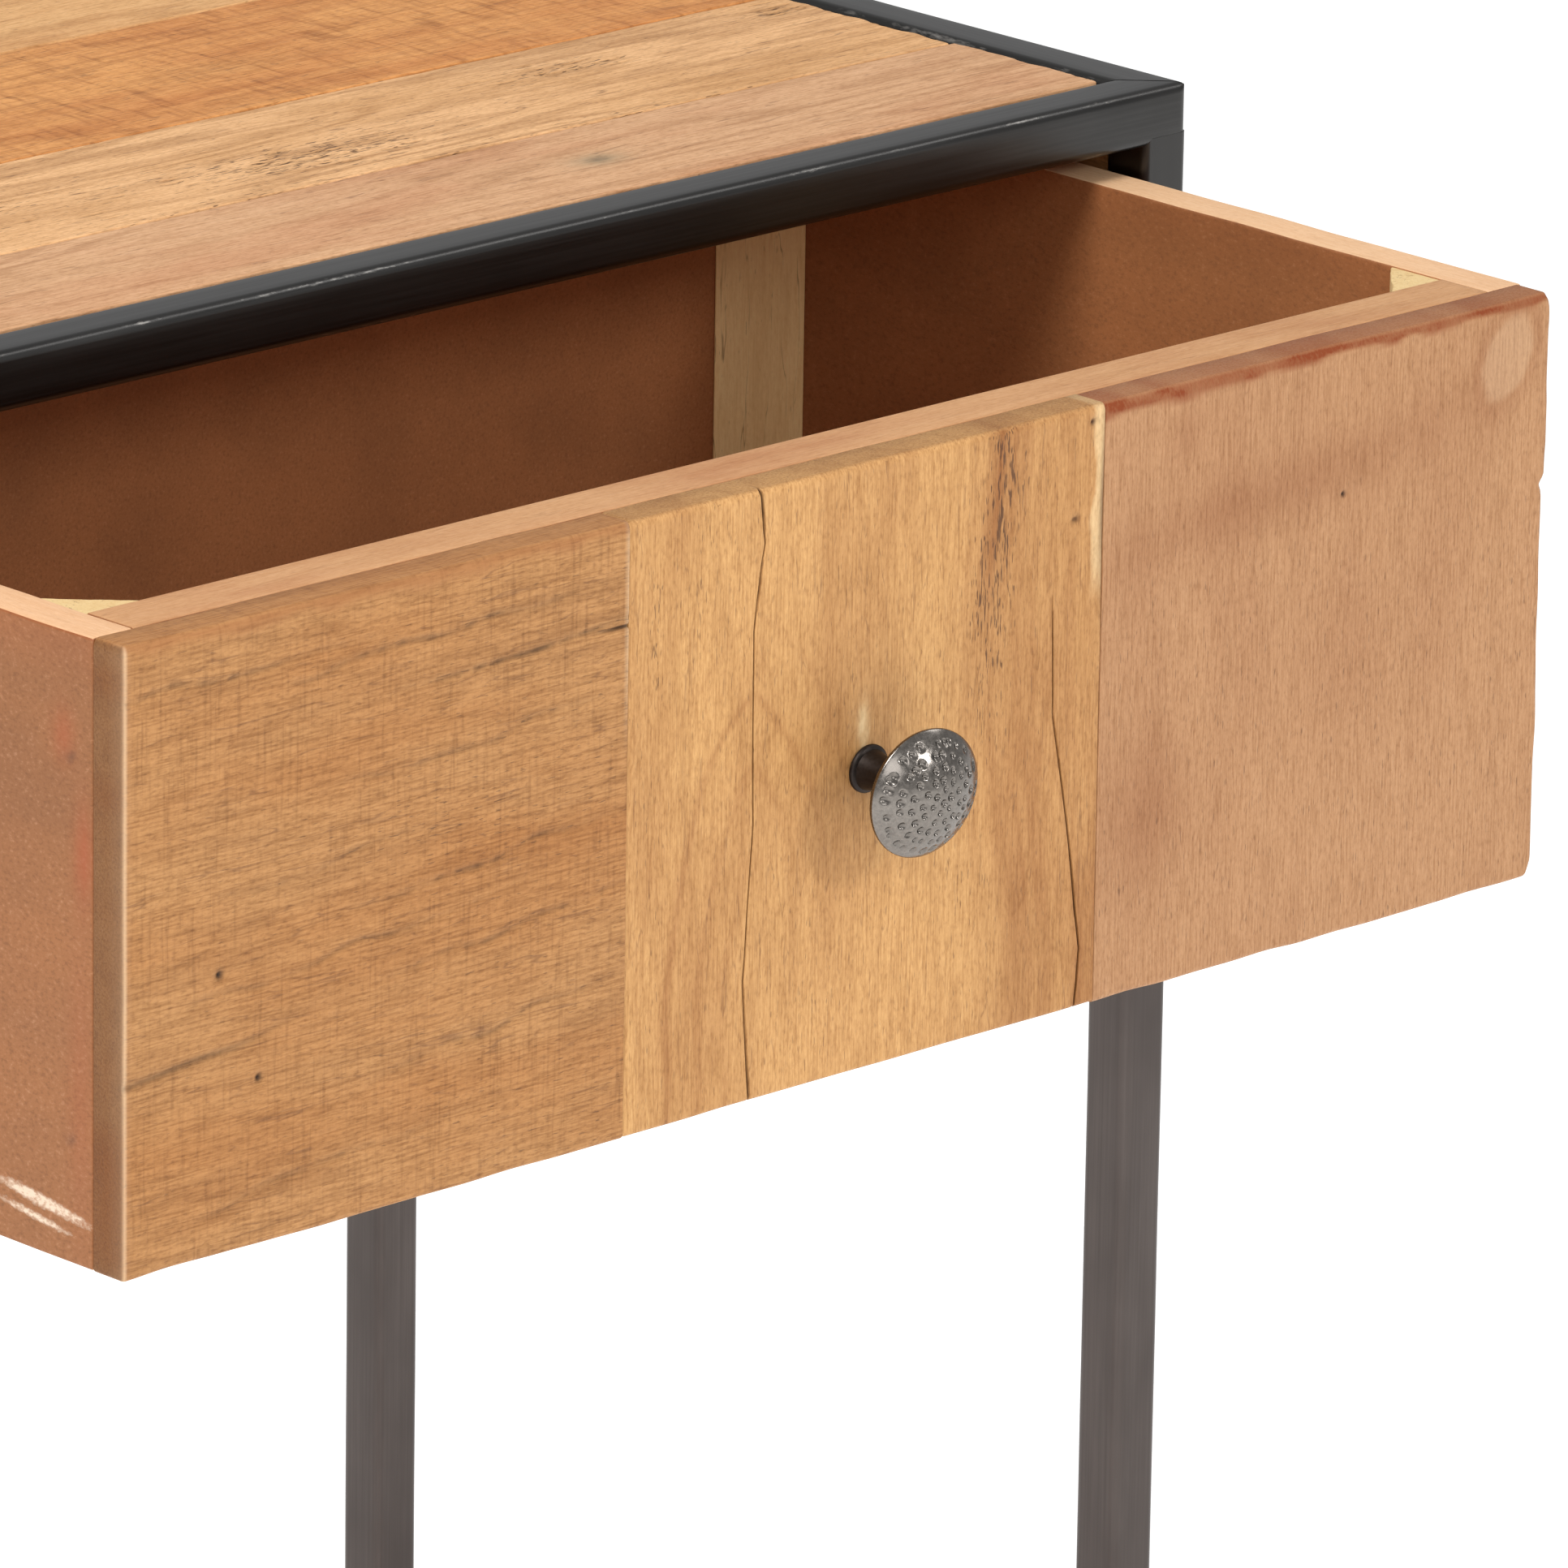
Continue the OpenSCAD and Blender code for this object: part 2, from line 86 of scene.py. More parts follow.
def fill(node, inputs):
    """Sets a node's sockets, by name or in order. Each gets a value or a link; a node given
    as an input stands for its first output."""
    for key, value in inputs.items() if isinstance(inputs, dict) else enumerate(inputs):
        if isinstance(value, bpy.types.Node):
            value = value.outputs[0]
        if isinstance(value, bpy.types.NodeSocket):
            node.id_data.links.new(value, node.inputs[key])
        else:
            node.inputs[key].default_value = value


def add(tree, kind, inputs=(), **settings):
    """Adds a node with its settings and inputs."""
    node = tree.nodes.new("ShaderNode" + kind)
    for name, value in settings.items():
        setattr(node, name, value)
    fill(node, inputs)
    return node


def new_material(name, along="x", seed=0.0, patterns=(), marks=()):
    """Starts a material: its tree, its Principled shader, its patterns of noise and its
    mesh's marks. A pattern has a length along the grain and a width across it in
    millimetres, a place, a detail and a roughness."""
    material = bpy.data.materials.new(name)
    material.use_nodes = True
    tree = material.node_tree
    mark = {key: add(tree, "Attribute", attribute_name=key).outputs["Fac"] for key in marks}
    noise = {}
    here = add(tree, "TexCoord").outputs["Object"] if patterns else None
    for key, (length, width, place, detail, rough) in dict(patterns).items():
        scale = [1 / (width * MM)] * 3
        scale["xyz".index(along)] = 1 / (length * MM)
        start = seed + place
        at = add(tree, "Mapping", {"Vector": here, "Scale": scale,
                                   "Location": (start, start * 0.7, start * 1.3)})
        noise[key] = add(tree, "TexNoise", {"Vector": at, "Scale": 1.0, "Detail": detail,
                                            "Roughness": rough}).outputs["Fac"]
    return material, tree, tree.nodes["Principled BSDF"], noise, mark


# ---- what a user may change ----

def colour_prop(name, text, hex_colour):
    """A colour a user may change."""
    return FloatVectorProperty(name=name, description=text, subtype="COLOR", size=3,
                               min=0.0, max=1.0, default=linear(hex_colour))


class SideTableWood(bpy.types.PropertyGroup):
    """Colours and edges of the boards."""

    top_1: colour_prop("First top board", "Pinkish board at the front of the top", "#d4a57b")
    top_2: colour_prop("Second top board", "Yellow board with worm marks", "#e6b480")
    top_3: colour_prop("Third top board", "Orange board", "#dc9b5a")
    top_4: colour_prop("Fourth top board", "Pale board at the rear of the top", "#e0ae76")
    face_left: colour_prop("Left face board", "Golden brown board", "#b4824f")
    face_middle: colour_prop("Middle face board", "Golden board with the knob", "#cc9b62")
    face_right: colour_prop("Right face board", "Pinkish brown board", "#b5875f")
    drawer_edge: colour_prop("Drawer edges", "Bare top edges of the drawer", "#e9bf95")
    drawer_board: colour_prop("Drawer boards", "Stained boards of the drawer box", "#ab6e42")
    block: colour_prop("Corner blocks", "Pale blocks inside the drawer", "#ffdfa2")
    drawer_outside: colour_prop("Drawer outside", "Stain on the outside of the drawer's sides",
                                "#955d2f")
    edge: FloatProperty(name="Worn edge", description="Radius of a board's worn edge",
                        default=1.4 * MM, min=0.2 * MM, max=3 * MM, unit="LENGTH")


class SideTableSteel(bpy.types.PropertyGroup):
    """Finish of the steel frame."""

    dark: colour_prop("Steel", "Lacquered steel of the legs", "#544d4a")
    # The rails' colour is a darker copy of the legs' steel colour. It is painted shade, standing
    # in for the light that the top and the open drawer keep off the rails.
    rails: colour_prop("Rails", "Lacquered steel of the rails, which took more lacquer", "#434241")
    worn: colour_prop("Worn steel", "Steel where the edges are rubbed", "#b9b4ae")
    roughness: FloatProperty(name="Roughness", description="Roughness of the lacquer",
                             default=0.3, min=0.1, max=0.9)
    corner: FloatProperty(name="Corner radius", description="Radius of the tube's corners",
                          default=2.5 * MM, min=0.5 * MM, max=3 * MM, unit="LENGTH")


class SideTableKnob(bpy.types.PropertyGroup):
    """The hammered knob."""

    rings: IntProperty(name="Rings of dimples", description="Rings of dimples on the head",
                       default=5, min=2, max=8)
    dimple: FloatProperty(name="Dimple", description="Diameter of one dimple",
                          default=1.95 * MM, min=1 * MM, max=4 * MM, unit="LENGTH")
    depth: FloatProperty(name="Dimple depth", description="Depth of one dimple",
                         default=0.75 * MM, min=0.1 * MM, max=1 * MM, unit="LENGTH")
    metal: colour_prop("Pewter", "Cast metal of the head", "#827c76")


class SideTableStage(bpy.types.PropertyGroup):
    """Camera and light."""

    azimuth: FloatProperty(name="Azimuth", description="Which way the camera faces, from +Y",
                           default=math.radians(43.92), subtype="ANGLE")
    elevation: FloatProperty(name="Elevation", description="How far the camera looks down",
                             default=math.radians(17.27), subtype="ANGLE")
    roll: FloatProperty(name="Roll", description="Turn of the camera about its own axis",
                        default=math.radians(0.90), subtype="ANGLE")
    lens: FloatProperty(name="Lens", description="Focal length in millimetres", default=318.5)
    distance: FloatProperty(name="Distance", description="From the camera to the drawer front",
                            default=3.2492, unit="LENGTH")
    key: FloatProperty(name="Key light", description="Strength of the key light", default=22.5)
    sky: FloatProperty(name="Sky", description="Strength of the even light", default=0.52)


# ---- mesh helpers ----

def corners(node):
    """Lowest and highest corner of a CAD node, in millimetres."""
    low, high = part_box(node)
    return np.array(low) / MM, np.array(high) / MM


def drift(a, b, seed):
    """Smooth noise from -1 to 1 over two coordinates."""
    side = 61
    table = np.random.RandomState(seed).uniform(-1, 1, (side, side))
    a = np.asarray(a, float) + 0.0 * np.asarray(b, float)
    b = np.asarray(b, float) + 0.0 * a
    a0 = np.floor(a).astype(int)
    b0 = np.floor(b).astype(int)
    fa = a - a0
    fb = b - b0
    fa = fa * fa * (3 - 2 * fa)
    fb = fb * fb * (3 - 2 * fb)
    a1 = (a0 + 1) % side
    b1 = (b0 + 1) % side
    p = table[a0 % side, b0 % side] * (1 - fa) + table[a1, b0 % side] * fa
    q = table[a0 % side, b1] * (1 - fa) + table[a1, b1] * fa
    return p * (1 - fb) + q * fb


def step_up(low, high, x):
    """0 below low and 1 above high, with a smooth rise between."""
    t = np.clip((np.asarray(x, float) - low) / (high - low), 0, 1)
    return t * t * (3 - 2 * t)


def spot(u, v, at_u, at_v, half_u, half_v):
    """1 at the centre of a soft oval, falling to 0 outside it."""
    return np.exp(-((u - at_u) / half_u) ** 2 - ((v - at_v) / half_v) ** 2)


def spots(u, v, table, join=np.maximum):
    """Soft ovals joined: each has a middle, half sizes along u and v, and a weight."""
    found = np.zeros(len(u))
    for at_u, at_v, half_u, half_v, weight in table:
        found = join(found, weight * spot(u, v, at_u, at_v, half_u, half_v))
    return found


def make_piece(name, points, faces, materials, body, replaces=(), values=None,
               sharp=35, slots=None):
    """Turns points in millimetres and faces into one piece that rides on a body."""
    mesh = bpy.data.meshes.new(name)
    mesh.from_pydata((np.asarray(points) * MM).tolist(), [], [list(map(int, f)) for f in faces])
    for key, value in (values or {}).items():
        layer = mesh.attributes.new(key, "FLOAT", "POINT")
        layer.data.foreach_set("value", np.ascontiguousarray(value, dtype=np.float32))
    for material in materials:
        mesh.materials.append(material)
    if slots is not None:
        mesh.polygons.foreach_set("material_index", np.asarray(slots, dtype=np.int32))
    mesh.validate()
    mesh.shade_smooth()
    mesh.set_sharp_from_angle(angle=math.radians(sharp))
    piece = bpy.data.objects.new(name, mesh)
    bpy.context.scene.collection.objects.link(piece)
    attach(piece, body)
    if replaces:
        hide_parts(*replaces)
    return piece


# directions along and up the face that looks each way
FACES = {
    "-y": ((1, 0, 0), (0, 0, 1)),
    "+y": ((-1, 0, 0), (0, 0, 1)),
    "-x": ((0, -1, 0), (0, 0, 1)),
    "+x": ((0, 1, 0), (0, 0, 1)),
    "+z": ((1, 0, 0), (0, 1, 0)),
}
# radius in plan of the frame's ground corners, and spacing of points along a tube, in mm
PLAN_CORNER = 3.2
TUBE_STEP = 9.0
# rows of points on a soft edge, as parts of its radius
SOFT = 1 - np.tan(np.radians([45, 34, 22, 11, 0]))
# rows of points about a crack or a hole, in millimetres
NEAR = np.array([-2.2, -1.1, -0.55, -0.28, -0.12, 0.0, 0.12, 0.28, 0.55, 1.1, 2.2])


def rows_along(length, step, soft_low, soft_high, fine=()):
    """Places of the rows of points along one side, closer at its edges and at fine places."""
    count = max(2, int(round((length - soft_low - soft_high) / step)) + 1)
    rows = [soft_low * SOFT, length - soft_high * SOFT,
            np.linspace(soft_low, length - soft_high, count)]
    rows += [place + NEAR for place in fine]
    rows = np.unique(np.round(np.concatenate(rows), 3))
    rows = rows[(rows >= 0) & (rows <= length)]
    keep = np.concatenate([[True], np.diff(rows) > 0.04])
    keep[-1] = True
    return rows[keep]


def soften(points, size, low_r, high_r):
    """Moves points on a box's surface to the same box with rounded edges."""
    middle = np.clip(points, low_r, size - high_r)
    reach = points - middle
    turn = reach / np.where(reach < 0, low_r, high_r)
    return middle + reach / np.maximum(np.linalg.norm(turn, axis=1, keepdims=True), 1)


def quads(grid):
    """Faces of a grid of point numbers."""
    return np.stack([grid[:-1, :-1], grid[1:, :-1], grid[1:, 1:], grid[:-1, 1:]],
                    -1).reshape(-1, 4).tolist()


def walls(rows):
    """Faces between rows of point numbers, each of which closes on itself."""
    after = np.roll(rows, -1, axis=1)
    return np.stack([after[:-1], rows[:-1], rows[1:], after[1:]], -1).reshape(-1, 4).tolist()


def skin(rows, count, turned=False):
    """Faces of a bar made of rows of points, with a cap at each end."""
    at = np.arange(rows * count).reshape(rows, count)
    faces = [*walls(at), at[0].tolist(), at[-1][::-1].tolist()]
    return [face[::-1] for face in faces] if turned else faces


def open_cracks(points, u, drop, near, width, cracks):
    """Bends the grain along each crack and opens the crack; gives how dark each point is.
    A crack has a place, a path of (drop, shift, openness), a half width and a depth."""
    dark = np.zeros(len(points))
    moved = np.zeros(len(points))
    knots = [0.0] + [crack[0] for crack in cracks] + [width]
    for number, (at, path, wide, deep) in enumerate(cracks):
        falls, shifts, opens = np.array(path).T
        tent = np.zeros(len(knots))
        tent[number + 1] = 1
        moved += np.interp(drop, falls, shifts) * np.interp(u, knots, tent)
        opened = np.interp(drop, falls, opens)
        gap = np.clip(1 - np.abs(u - at) / (wide * np.maximum(opened, 0.05)), 0, 1)
        gap = gap * np.minimum(opened * 4, 1)
        points[:, 2] += deep * gap * near
        dark = np.maximum(dark, step_up(0.05, 0.6, gap) * near)
    points[:, 0] += moved
    return dark


def board(name, node, side, materials, body, step=(1.6, 1.6), edges=(0.8, 0.8, 0.8, 0.8),
          front=0.8, rear=0.4, cracks=(), fine_u=(), fine_v=(), marks=None, far=False,
          regions=None, replaces=None):
    """One solid board. u runs along its face and v up it, both from its lower left corner,
    and w runs into it. edges gives the softness of its left, right, lower and upper edge.
    marks(u, v, size) gives how deep, how far to the side and how dark each place is.
    regions gives the material of its lower (1), right (2), upper (3), left (4) and far (5)
    side where it isn't the first."""
    low, high = corners(node)
    across, up = (np.array(a, float) for a in FACES[side])
    inward = -np.cross(across, up)
    size = np.array([abs(a @ (high - low)) for a in (across, up, inward)])
    left, right, lower, upper = edges
    us = rows_along(size[0], step[0], left, right, [c[0] for c in cracks] + list(fine_u))
    vs = rows_along(size[1], step[1], lower, upper, fine_v)
    ws = rows_along(size[2], 4.0, front, rear)
    nu, nv = len(us), len(vs)
    index = np.arange(nu * nv).reshape(nu, nv)
    face = np.stack([*np.meshgrid(us, vs, indexing="ij"), np.zeros((nu, nv))], -1).reshape(-1, 3)
    ring = np.concatenate([index[:, 0], index[-1, 1:], index[-2::-1, -1], index[0, -2:0:-1]])
    deeper = (face[ring] + ws[1:, None, None] * np.array([0, 0, 1])).reshape(-1, 3)
    rings = np.vstack([ring, nu * nv + np.arange(len(deeper)).reshape(-1, len(ring))])
    points = [face, deeper]
    faces = quads(index) + walls(rings)
    kinds = [0] * ((nu - 1) * (nv - 1))
    kinds += np.repeat([1, 2, 3, 4], [nu - 1, nv - 1] * 2).tolist() * (len(ws) - 1)
    if far:
        inner = face[index[1:-1, 1:-1].ravel()] + np.array([0, 0, size[2]])
        grid = np.zeros((nu, nv), int)
        grid[np.unravel_index(ring, (nu, nv))] = rings[-1]
        grid[1:-1, 1:-1] = rings.max() + 1 + np.arange(len(inner)).reshape(nu - 2, nv - 2)
        points.append(inner)
        faces += quads(grid.T)
    else:
        faces.append(rings[-1][::-1].tolist())
    kinds += [5] * (len(faces) - len(kinds))
    points = np.concatenate(points)
    u, v, w = points.T.copy()
    points = soften(points, size, np.array([left, lower, front]), np.array([right, upper, rear]))
    near = np.clip(1 - w / 2.0, 0, 1)
    values = {key: np.zeros(len(points)) for key in MARKS}
    if cracks:
        values["dark"] = open_cracks(points, u, size[1] - v, near, size[0], cracks)
    # sanding by hand leaves the face a little uneven
    points[:, 2] += near * 0.06 * (1 + drift(u / 31, v / 23, len(name) + 3))
    got = marks(u, v, size) if marks else {}
    points[:, 2] += near * got.get("deep", 0)
    points[:, 0] += got.get("u", 0)
    points[:, 1] += got.get("v", 0)
    for key, least in MARKS.items():
        values[key] = np.maximum(values[key], got.get(key, 0) * np.maximum(near, least))
    corner = np.where(across + up + inward > 0, low, high)
    world = corner + points[:, :1] * across + points[:, 1:2] * up + points[:, 2:] * inward
    slots = [(regions or {}).get(kind, 0) for kind in kinds]
    return make_piece(name, world, faces, materials, body, replaces or [node], values,
                      slots=slots)


def tube(name, node, axis, material, outer=None, seed=1, worn=0.15, grow=0.0):
    """One square tube with soft corners and slight waves, mitred if outer names its outer
    side as (axis, +1 or -1). A mitred end is rounded in plan as the ground corner is. A leg
    may grow up into the corner above it."""
    low, high = corners(node)
    high[axis] += grow
    length = high[axis] - low[axis]
    p_axis, q_axis = [(1, 2), (2, 0), (0, 1)][axis]
    radius = bpy.context.scene.side_table_steel.corner / MM
    half = (high[p_axis] - low[p_axis]) / 2
    section = []
    rubbed = []
    for turn in range(4):
        spin = math.radians(90 * turn)
        rotate = np.array([[math.cos(spin), -math.sin(spin)], [math.sin(spin), math.cos(spin)]])
        for a in np.radians(np.linspace(0, 90, 7)):
            arc = radius * np.array([math.cos(a), math.sin(a)])
            section.append(rotate @ (half - radius + arc))
            rubbed.append(math.sin(2 * a) ** 2)
        for place in (0.3, -0.3):
            section.append(rotate @ np.array([half * place, half]))
            rubbed.append(0)
    section = np.array(section)
    ends = np.array([0, 0.4, 1.0, 1.8, 3.0])
    count = max(3, int(length / TUBE_STEP))
    places = np.unique(np.concatenate([ends, length - ends, np.linspace(3, length - 3, count)]))
    along, number = np.meshgrid(places, np.arange(len(section)), indexing="ij")
    points = np.zeros((*along.shape, 3))
    points[..., p_axis] = (low[p_axis] + high[p_axis]) / 2 + section[:, 0]
    points[..., q_axis] = (low[q_axis] + high[q_axis]) / 2 + section[:, 1]
    start = 0.0
    if outer:
        wall = high if outer[1] > 0 else low
        start = np.abs(points[..., outer[0]] - wall[outer[0]])
    points[..., axis] = low[axis] + start + (length - 2 * start) * along / length
    # the tube's sides are slightly hollow here and there, but not at its welded ends
    bow = 0.07 * np.abs(drift(points[..., axis] / 37, number / 9, seed))
    bow = bow * step_up(1, 14, np.minimum(along, length - along))
    points[..., q_axis] -= bow * np.sign(section[:, 1])
    points[..., p_axis] -= bow * np.sign(section[:, 0])
    rub = 0.6 + 0.4 * drift(points[..., axis] / 11, points[..., q_axis] / 30, seed + 5)
    wear = np.array(rubbed) * rub * worn
    points = points.reshape(-1, 3)
    if outer:
        low_x, low_y = corners("top_rail_left")[0][0], corners("top_rail_front")[0][1]
        plan = np.array([(low_x, low_y), corners("top_rail_right")[1][:2]])
        centre = (plan[0] + plan[1]) / 2
        reach = (plan[1] - plan[0]) / 2 - PLAN_CORNER
        over = np.abs(points[:, :2] - centre) - reach
        both = (over > 0).all(axis=1)
        far_out = np.linalg.norm(over[both], axis=1)
        pull = np.minimum(1, PLAN_CORNER / np.maximum(far_out, 1e-6))[:, None]
        points[both, :2] = centre + np.sign(points[both, :2] - centre) * (
            reach + over[both] * pull)
    # the legs are painted darker towards the top in the rails' colour: painted shade, where the
    # top and the open drawer shade the frame
    deep = step_up(0.6 * high[2], 0.96 * high[2], points[:, 2]) * (axis == 2)
    return make_piece(name, points, skin(*along.shape, True), [material], "table",
                      [node], {"tint": wear.ravel(), "dark": deep}, sharp=30)


def lathe(name, outline, centre, turns, material, node, bump=None, sharp=40):
    """Turns an outline of (radius, out) pairs about the knob's axis, which runs to -Y."""
    radius, out = np.array(outline).T[:, :, None]
    angles = np.linspace(0, 2 * math.pi, turns, endpoint=False)
    x = radius * np.cos(angles)
    z = radius * np.sin(angles)
    lift = out + 0 * x if bump is None else out - bump(x, z, radius)
    points = np.stack([centre[0] + x, centre[1] - lift, centre[2] + z], -1).reshape(-1, 3)
    return make_piece(name, points, skin(len(outline), turns), [material], "drawer",
                      [node], sharp=sharp)


# ---- materials ----

def ramp(tree, value, *limits, **settings):
    """Stretches a value from the range of the first two limits to that of the last two."""
    return add(tree, "MapRange", (value, *limits), **settings)


def maths(tree, operation, *values, **settings):
    """One step of arithmetic on values or links."""
    return add(tree, "Math", values, operation=operation, **settings)


def layered(tree, colour, layers):
    """Lays colours over each other. A layer has an amount and a colour, and says how it
    blends where that isn't plain mixing."""
    for amount, over, *how in layers:
        colour = add(tree, "Mix", {0: amount, 6: colour, 7: over}, data_type="RGBA",
                     blend_type=how[0] if how else "MIX").outputs[2]
    return colour


def set_surface(tree, shader, colour, rough, bump, **values):
    """Fills the shader. rough is a pattern and the range it gives; bump is a height, a
    strength and a depth in millimetres."""
    height, strength, depth = bump
    fill(shader, {
        "Base Color": colour, **values, "Roughness": ramp(tree, rough[0], 0.3, 0.7, *rough[1:]),
        "Normal": add(tree, "Bump", {"Height": height, "Strength": strength,
                                     "Distance": depth * MM})})


def wood(name, tone, along, seed, deep=0.6, ring=34.0, lines=7.0, figure=0.5, pores=0.35,
         saw=0.0, saw_mm=1.3, blotch=0.35, streak=0.3, streak_mm=6.0, fine=0.5,
         warm="#a8602f", tint="#8a4427", end=0.75, crack="#2b1a11"):
    """Reclaimed hardwood, sawn, sanded a little and given a thin satin lacquer: growth lines
    and open pores run along the board, the saw leaves fine marks across it, and end grain
    is darker."""
    patterns = {
        "growth": (ring * 9, ring, 0, 2.0, 0.5),
        "patch": (90, 24, 4, 2.0, 0.5),
        "cloud": (120, 34, 9, 4.0, 0.6),
        "fibre": (11, 0.6, 2, 3.0, 0.65),
        "mottle": (2.0, 0.8, 1, 2.0, 0.6),
        "wander": (streak_mm * 11, streak_mm, 21, 3.0, 0.55),
        "broken": (16, 2.5, 23, 2.0, 0.5),
        "pore": (4.0, 0.5, 6, 1.5, 0.5),
    }
    if saw:
        patterns["saw"] = (saw_mm, 15, 12, 2.0, 0.6)
        patterns["passes"] = (saw_mm * 4.5, 28, 15, 1.0, 0.5)
    material, tree, shader, noise, mark = new_material(name, along, seed, patterns, MARKS)
    shade = rgba([deep, deep * 0.84, deep * 0.66])
    pale = rgba([1.16, 1.22, 1.30])
    # growth: contour lines of slow noise, about as far apart as rings on a flat-sawn board
    wave = maths(tree, "MULTIPLY", noise["growth"], lines * 2)
    ping = maths(tree, "PINGPONG", wave, 1.0)
    rings = ramp(tree, ping, 0.3, 1.0, 0.0, 1.0, interpolation_type="SMOOTHSTEP")
    strength = ramp(tree, noise["patch"], 0.35, 0.65, 0.3 * figure, figure)
    rings = maths(tree, "MULTIPLY", rings, strength)
    # slow change of tone over the board, and the stains painted on it
    cloud = ramp(tree, noise["cloud"], 0.42, 0.7, 0.0, blotch, interpolation_type="SMOOTHSTEP")
    stain = maths(tree, "ADD", mark["warm"], cloud, use_clamp=True)
    # fibres about half a millimetre wide, and the mottle of a sawn face
    fibre = ramp(tree, noise["fibre"], 0.44, 0.66, 0.0, fine)
    light = ramp(tree, noise["mottle"], 0.52, 0.7, 0.0, fine)
    low = ramp(tree, noise["mottle"], 0.48, 0.3, 0.0, fine * 0.8)
    # thin wandering dark lines, broken here and there
    off = maths(tree, "SUBTRACT", noise["wander"], 0.5)
    off = maths(tree, "ABSOLUTE", off)
    line = ramp(tree, off, 0.0, 0.012, 1.0, 0.0)
    broken = ramp(tree, noise["broken"], 0.44, 0.6, 0.0, streak)
    line = maths(tree, "MULTIPLY", line, broken)
    # open pores: short dark dashes, more of them where the board is worm-eaten
    limit = ramp(tree, mark["dash"], 0.0, 1.0, 0.70, 0.53)
    over = maths(tree, "SUBTRACT", noise["pore"], limit)
    amount = ramp(tree, mark["dash"], 0.0, 0.6, pores, 0.8)
    pore = ramp(tree, over, 0.0, 0.06, 0.0, amount)
    height = maths(tree, "MULTIPLY_ADD", noise["fibre"], -1.2, noise["mottle"])
    height = maths(tree, "MULTIPLY_ADD", pore, -1.2, height)
    layers = [(rings, shade, "MULTIPLY"), (stain, rgba(warm)), (fibre, shade, "MULTIPLY"),
              (light, pale, "MULTIPLY"), (low, shade, "MULTIPLY"), (line, rgba("#6a4327")),
              (pore, rgba("#4a2d1c"))]
    if saw:
        # saw marks across the board: fine ones a millimetre or so apart, and wider passes
        passes = ramp(tree, noise["passes"], 0.4, 0.62, 0.35, 1.0)
        cut = ramp(tree, noise["saw"], 0.5, 0.7, 0.0, saw)
        cut = maths(tree, "MULTIPLY", cut, passes)
        glint = ramp(tree, noise["saw"], 0.46, 0.3, 0.0, saw * 0.45)
        layers += [(cut, shade, "MULTIPLY"), (glint, pale, "MULTIPLY")]
        height = maths(tree, "MULTIPLY_ADD", noise["saw"], -2.5 * saw, height)
    touch = maths(tree, "ADD", noise["mottle"], 0.45)
    touch = maths(tree, "MULTIPLY", mark["tint"], touch, use_clamp=True)
    # end grain soaks up the finish
    normal = add(tree, "SeparateXYZ", (add(tree, "TexCoord").outputs["Normal"],))
    facing = maths(tree, "ABSOLUTE", normal.outputs["xyz".index(along)])
    ends = ramp(tree, facing, 0.55, 0.9, 0.0, 1.0 - end)
    layers += [(mark["pale"], rgba("#ecd2ae")), (touch, rgba(tint)), (ends, rgba("#4a260e")),
               (mark["dark"], rgba(crack))]
    set_surface(tree, shader, layered(tree, rgba(tone), layers), (noise["fibre"], 0.49, 0.67),
                (height, 0.7, 0.14), **{"IOR": 1.45, "Specular IOR Level": 0.35})
    return material


def stained_board(name, tone, seed, along="x"):
    """Dense pressed board, sanded and stained: an even red brown with fine specks and faint
    clouds from the wiping cloth, and a soft satin."""
    material, tree, shader, noise, mark = new_material(name, along, seed, {
        "cloud": (70, 36, 0, 4.0, 0.6), "speck": (1.5, 0.9, 3, 2.0, 0.7)},
        ("warm", "tint", "dark"))
    speck = noise["speck"]
    base = rgba(tone)
    rub = maths(tree, "MULTIPLY", mark["tint"], speck)
    layers = (
        (ramp(tree, noise["cloud"], 0.35, 0.68, 0.0, 0.6), dimmed(base, 0.66)),
        (ramp(tree, speck, 0.52, 0.7, 0.0, 0.5), dimmed(base, 0.5)),
        (ramp(tree, speck, 0.25, 0.42, 0.22, 0.0), rgba("#d9a077")),
        (mark["warm"], rgba("#9a4a20")),
        (ramp(tree, rub, 0.18, 0.5, 0.0, 0.9), rgba("#e6cdb4")),
        (mark["dark"], rgba("#2b1a11")),
    )
    set_surface(tree, shader, layered(tree, base, layers), (speck, 0.45, 0.6),
                (speck, 0.5, 0.06), IOR=1.5)
    return material


def lacquered_steel(name, along, seed, tone):
    """Mild steel tube, brushed along its length and given a thin dark lacquer: a dull grey
    sheen with fine lengthwise streaks, brighter where the edges are rubbed."""
    sizes = bpy.context.scene.side_table_steel
    material, tree, shader, noise, mark = new_material(name, along, seed, {
        "streak": (60, 0.9, 0, 4.0, 0.6), "cloud": (40, 14, 3, 3.0, 0.5),
        "fleck": (2.6, 0.8, 8, 2.0, 0.5)}, ("tint", "dark"))
    streak = noise["streak"]
    both = maths(tree, "MULTIPLY", streak, noise["cloud"])
    rub = maths(tree, "MULTIPLY", mark["tint"], noise["fleck"])
    base = rgba(tone)
    layers = (
        (ramp(tree, both, 0.14, 0.38, 0.0, 1.0), dimmed(base, 1.12)),
        # painted shade: the legs' upper ends turn to the rails' darker colour
        (mark["dark"], rgba(sizes.rails)),
        (ramp(tree, rub, 0.2, 0.5, 0.0, 0.8), rgba(sizes.worn)),
    )
    set_surface(tree, shader, layered(tree, dimmed(base, 0.86), layers),
                (streak, sizes.roughness - 0.02, sizes.roughness + 0.05), (streak, 0.12, 0.05),
                Metallic=1.0)
    return material


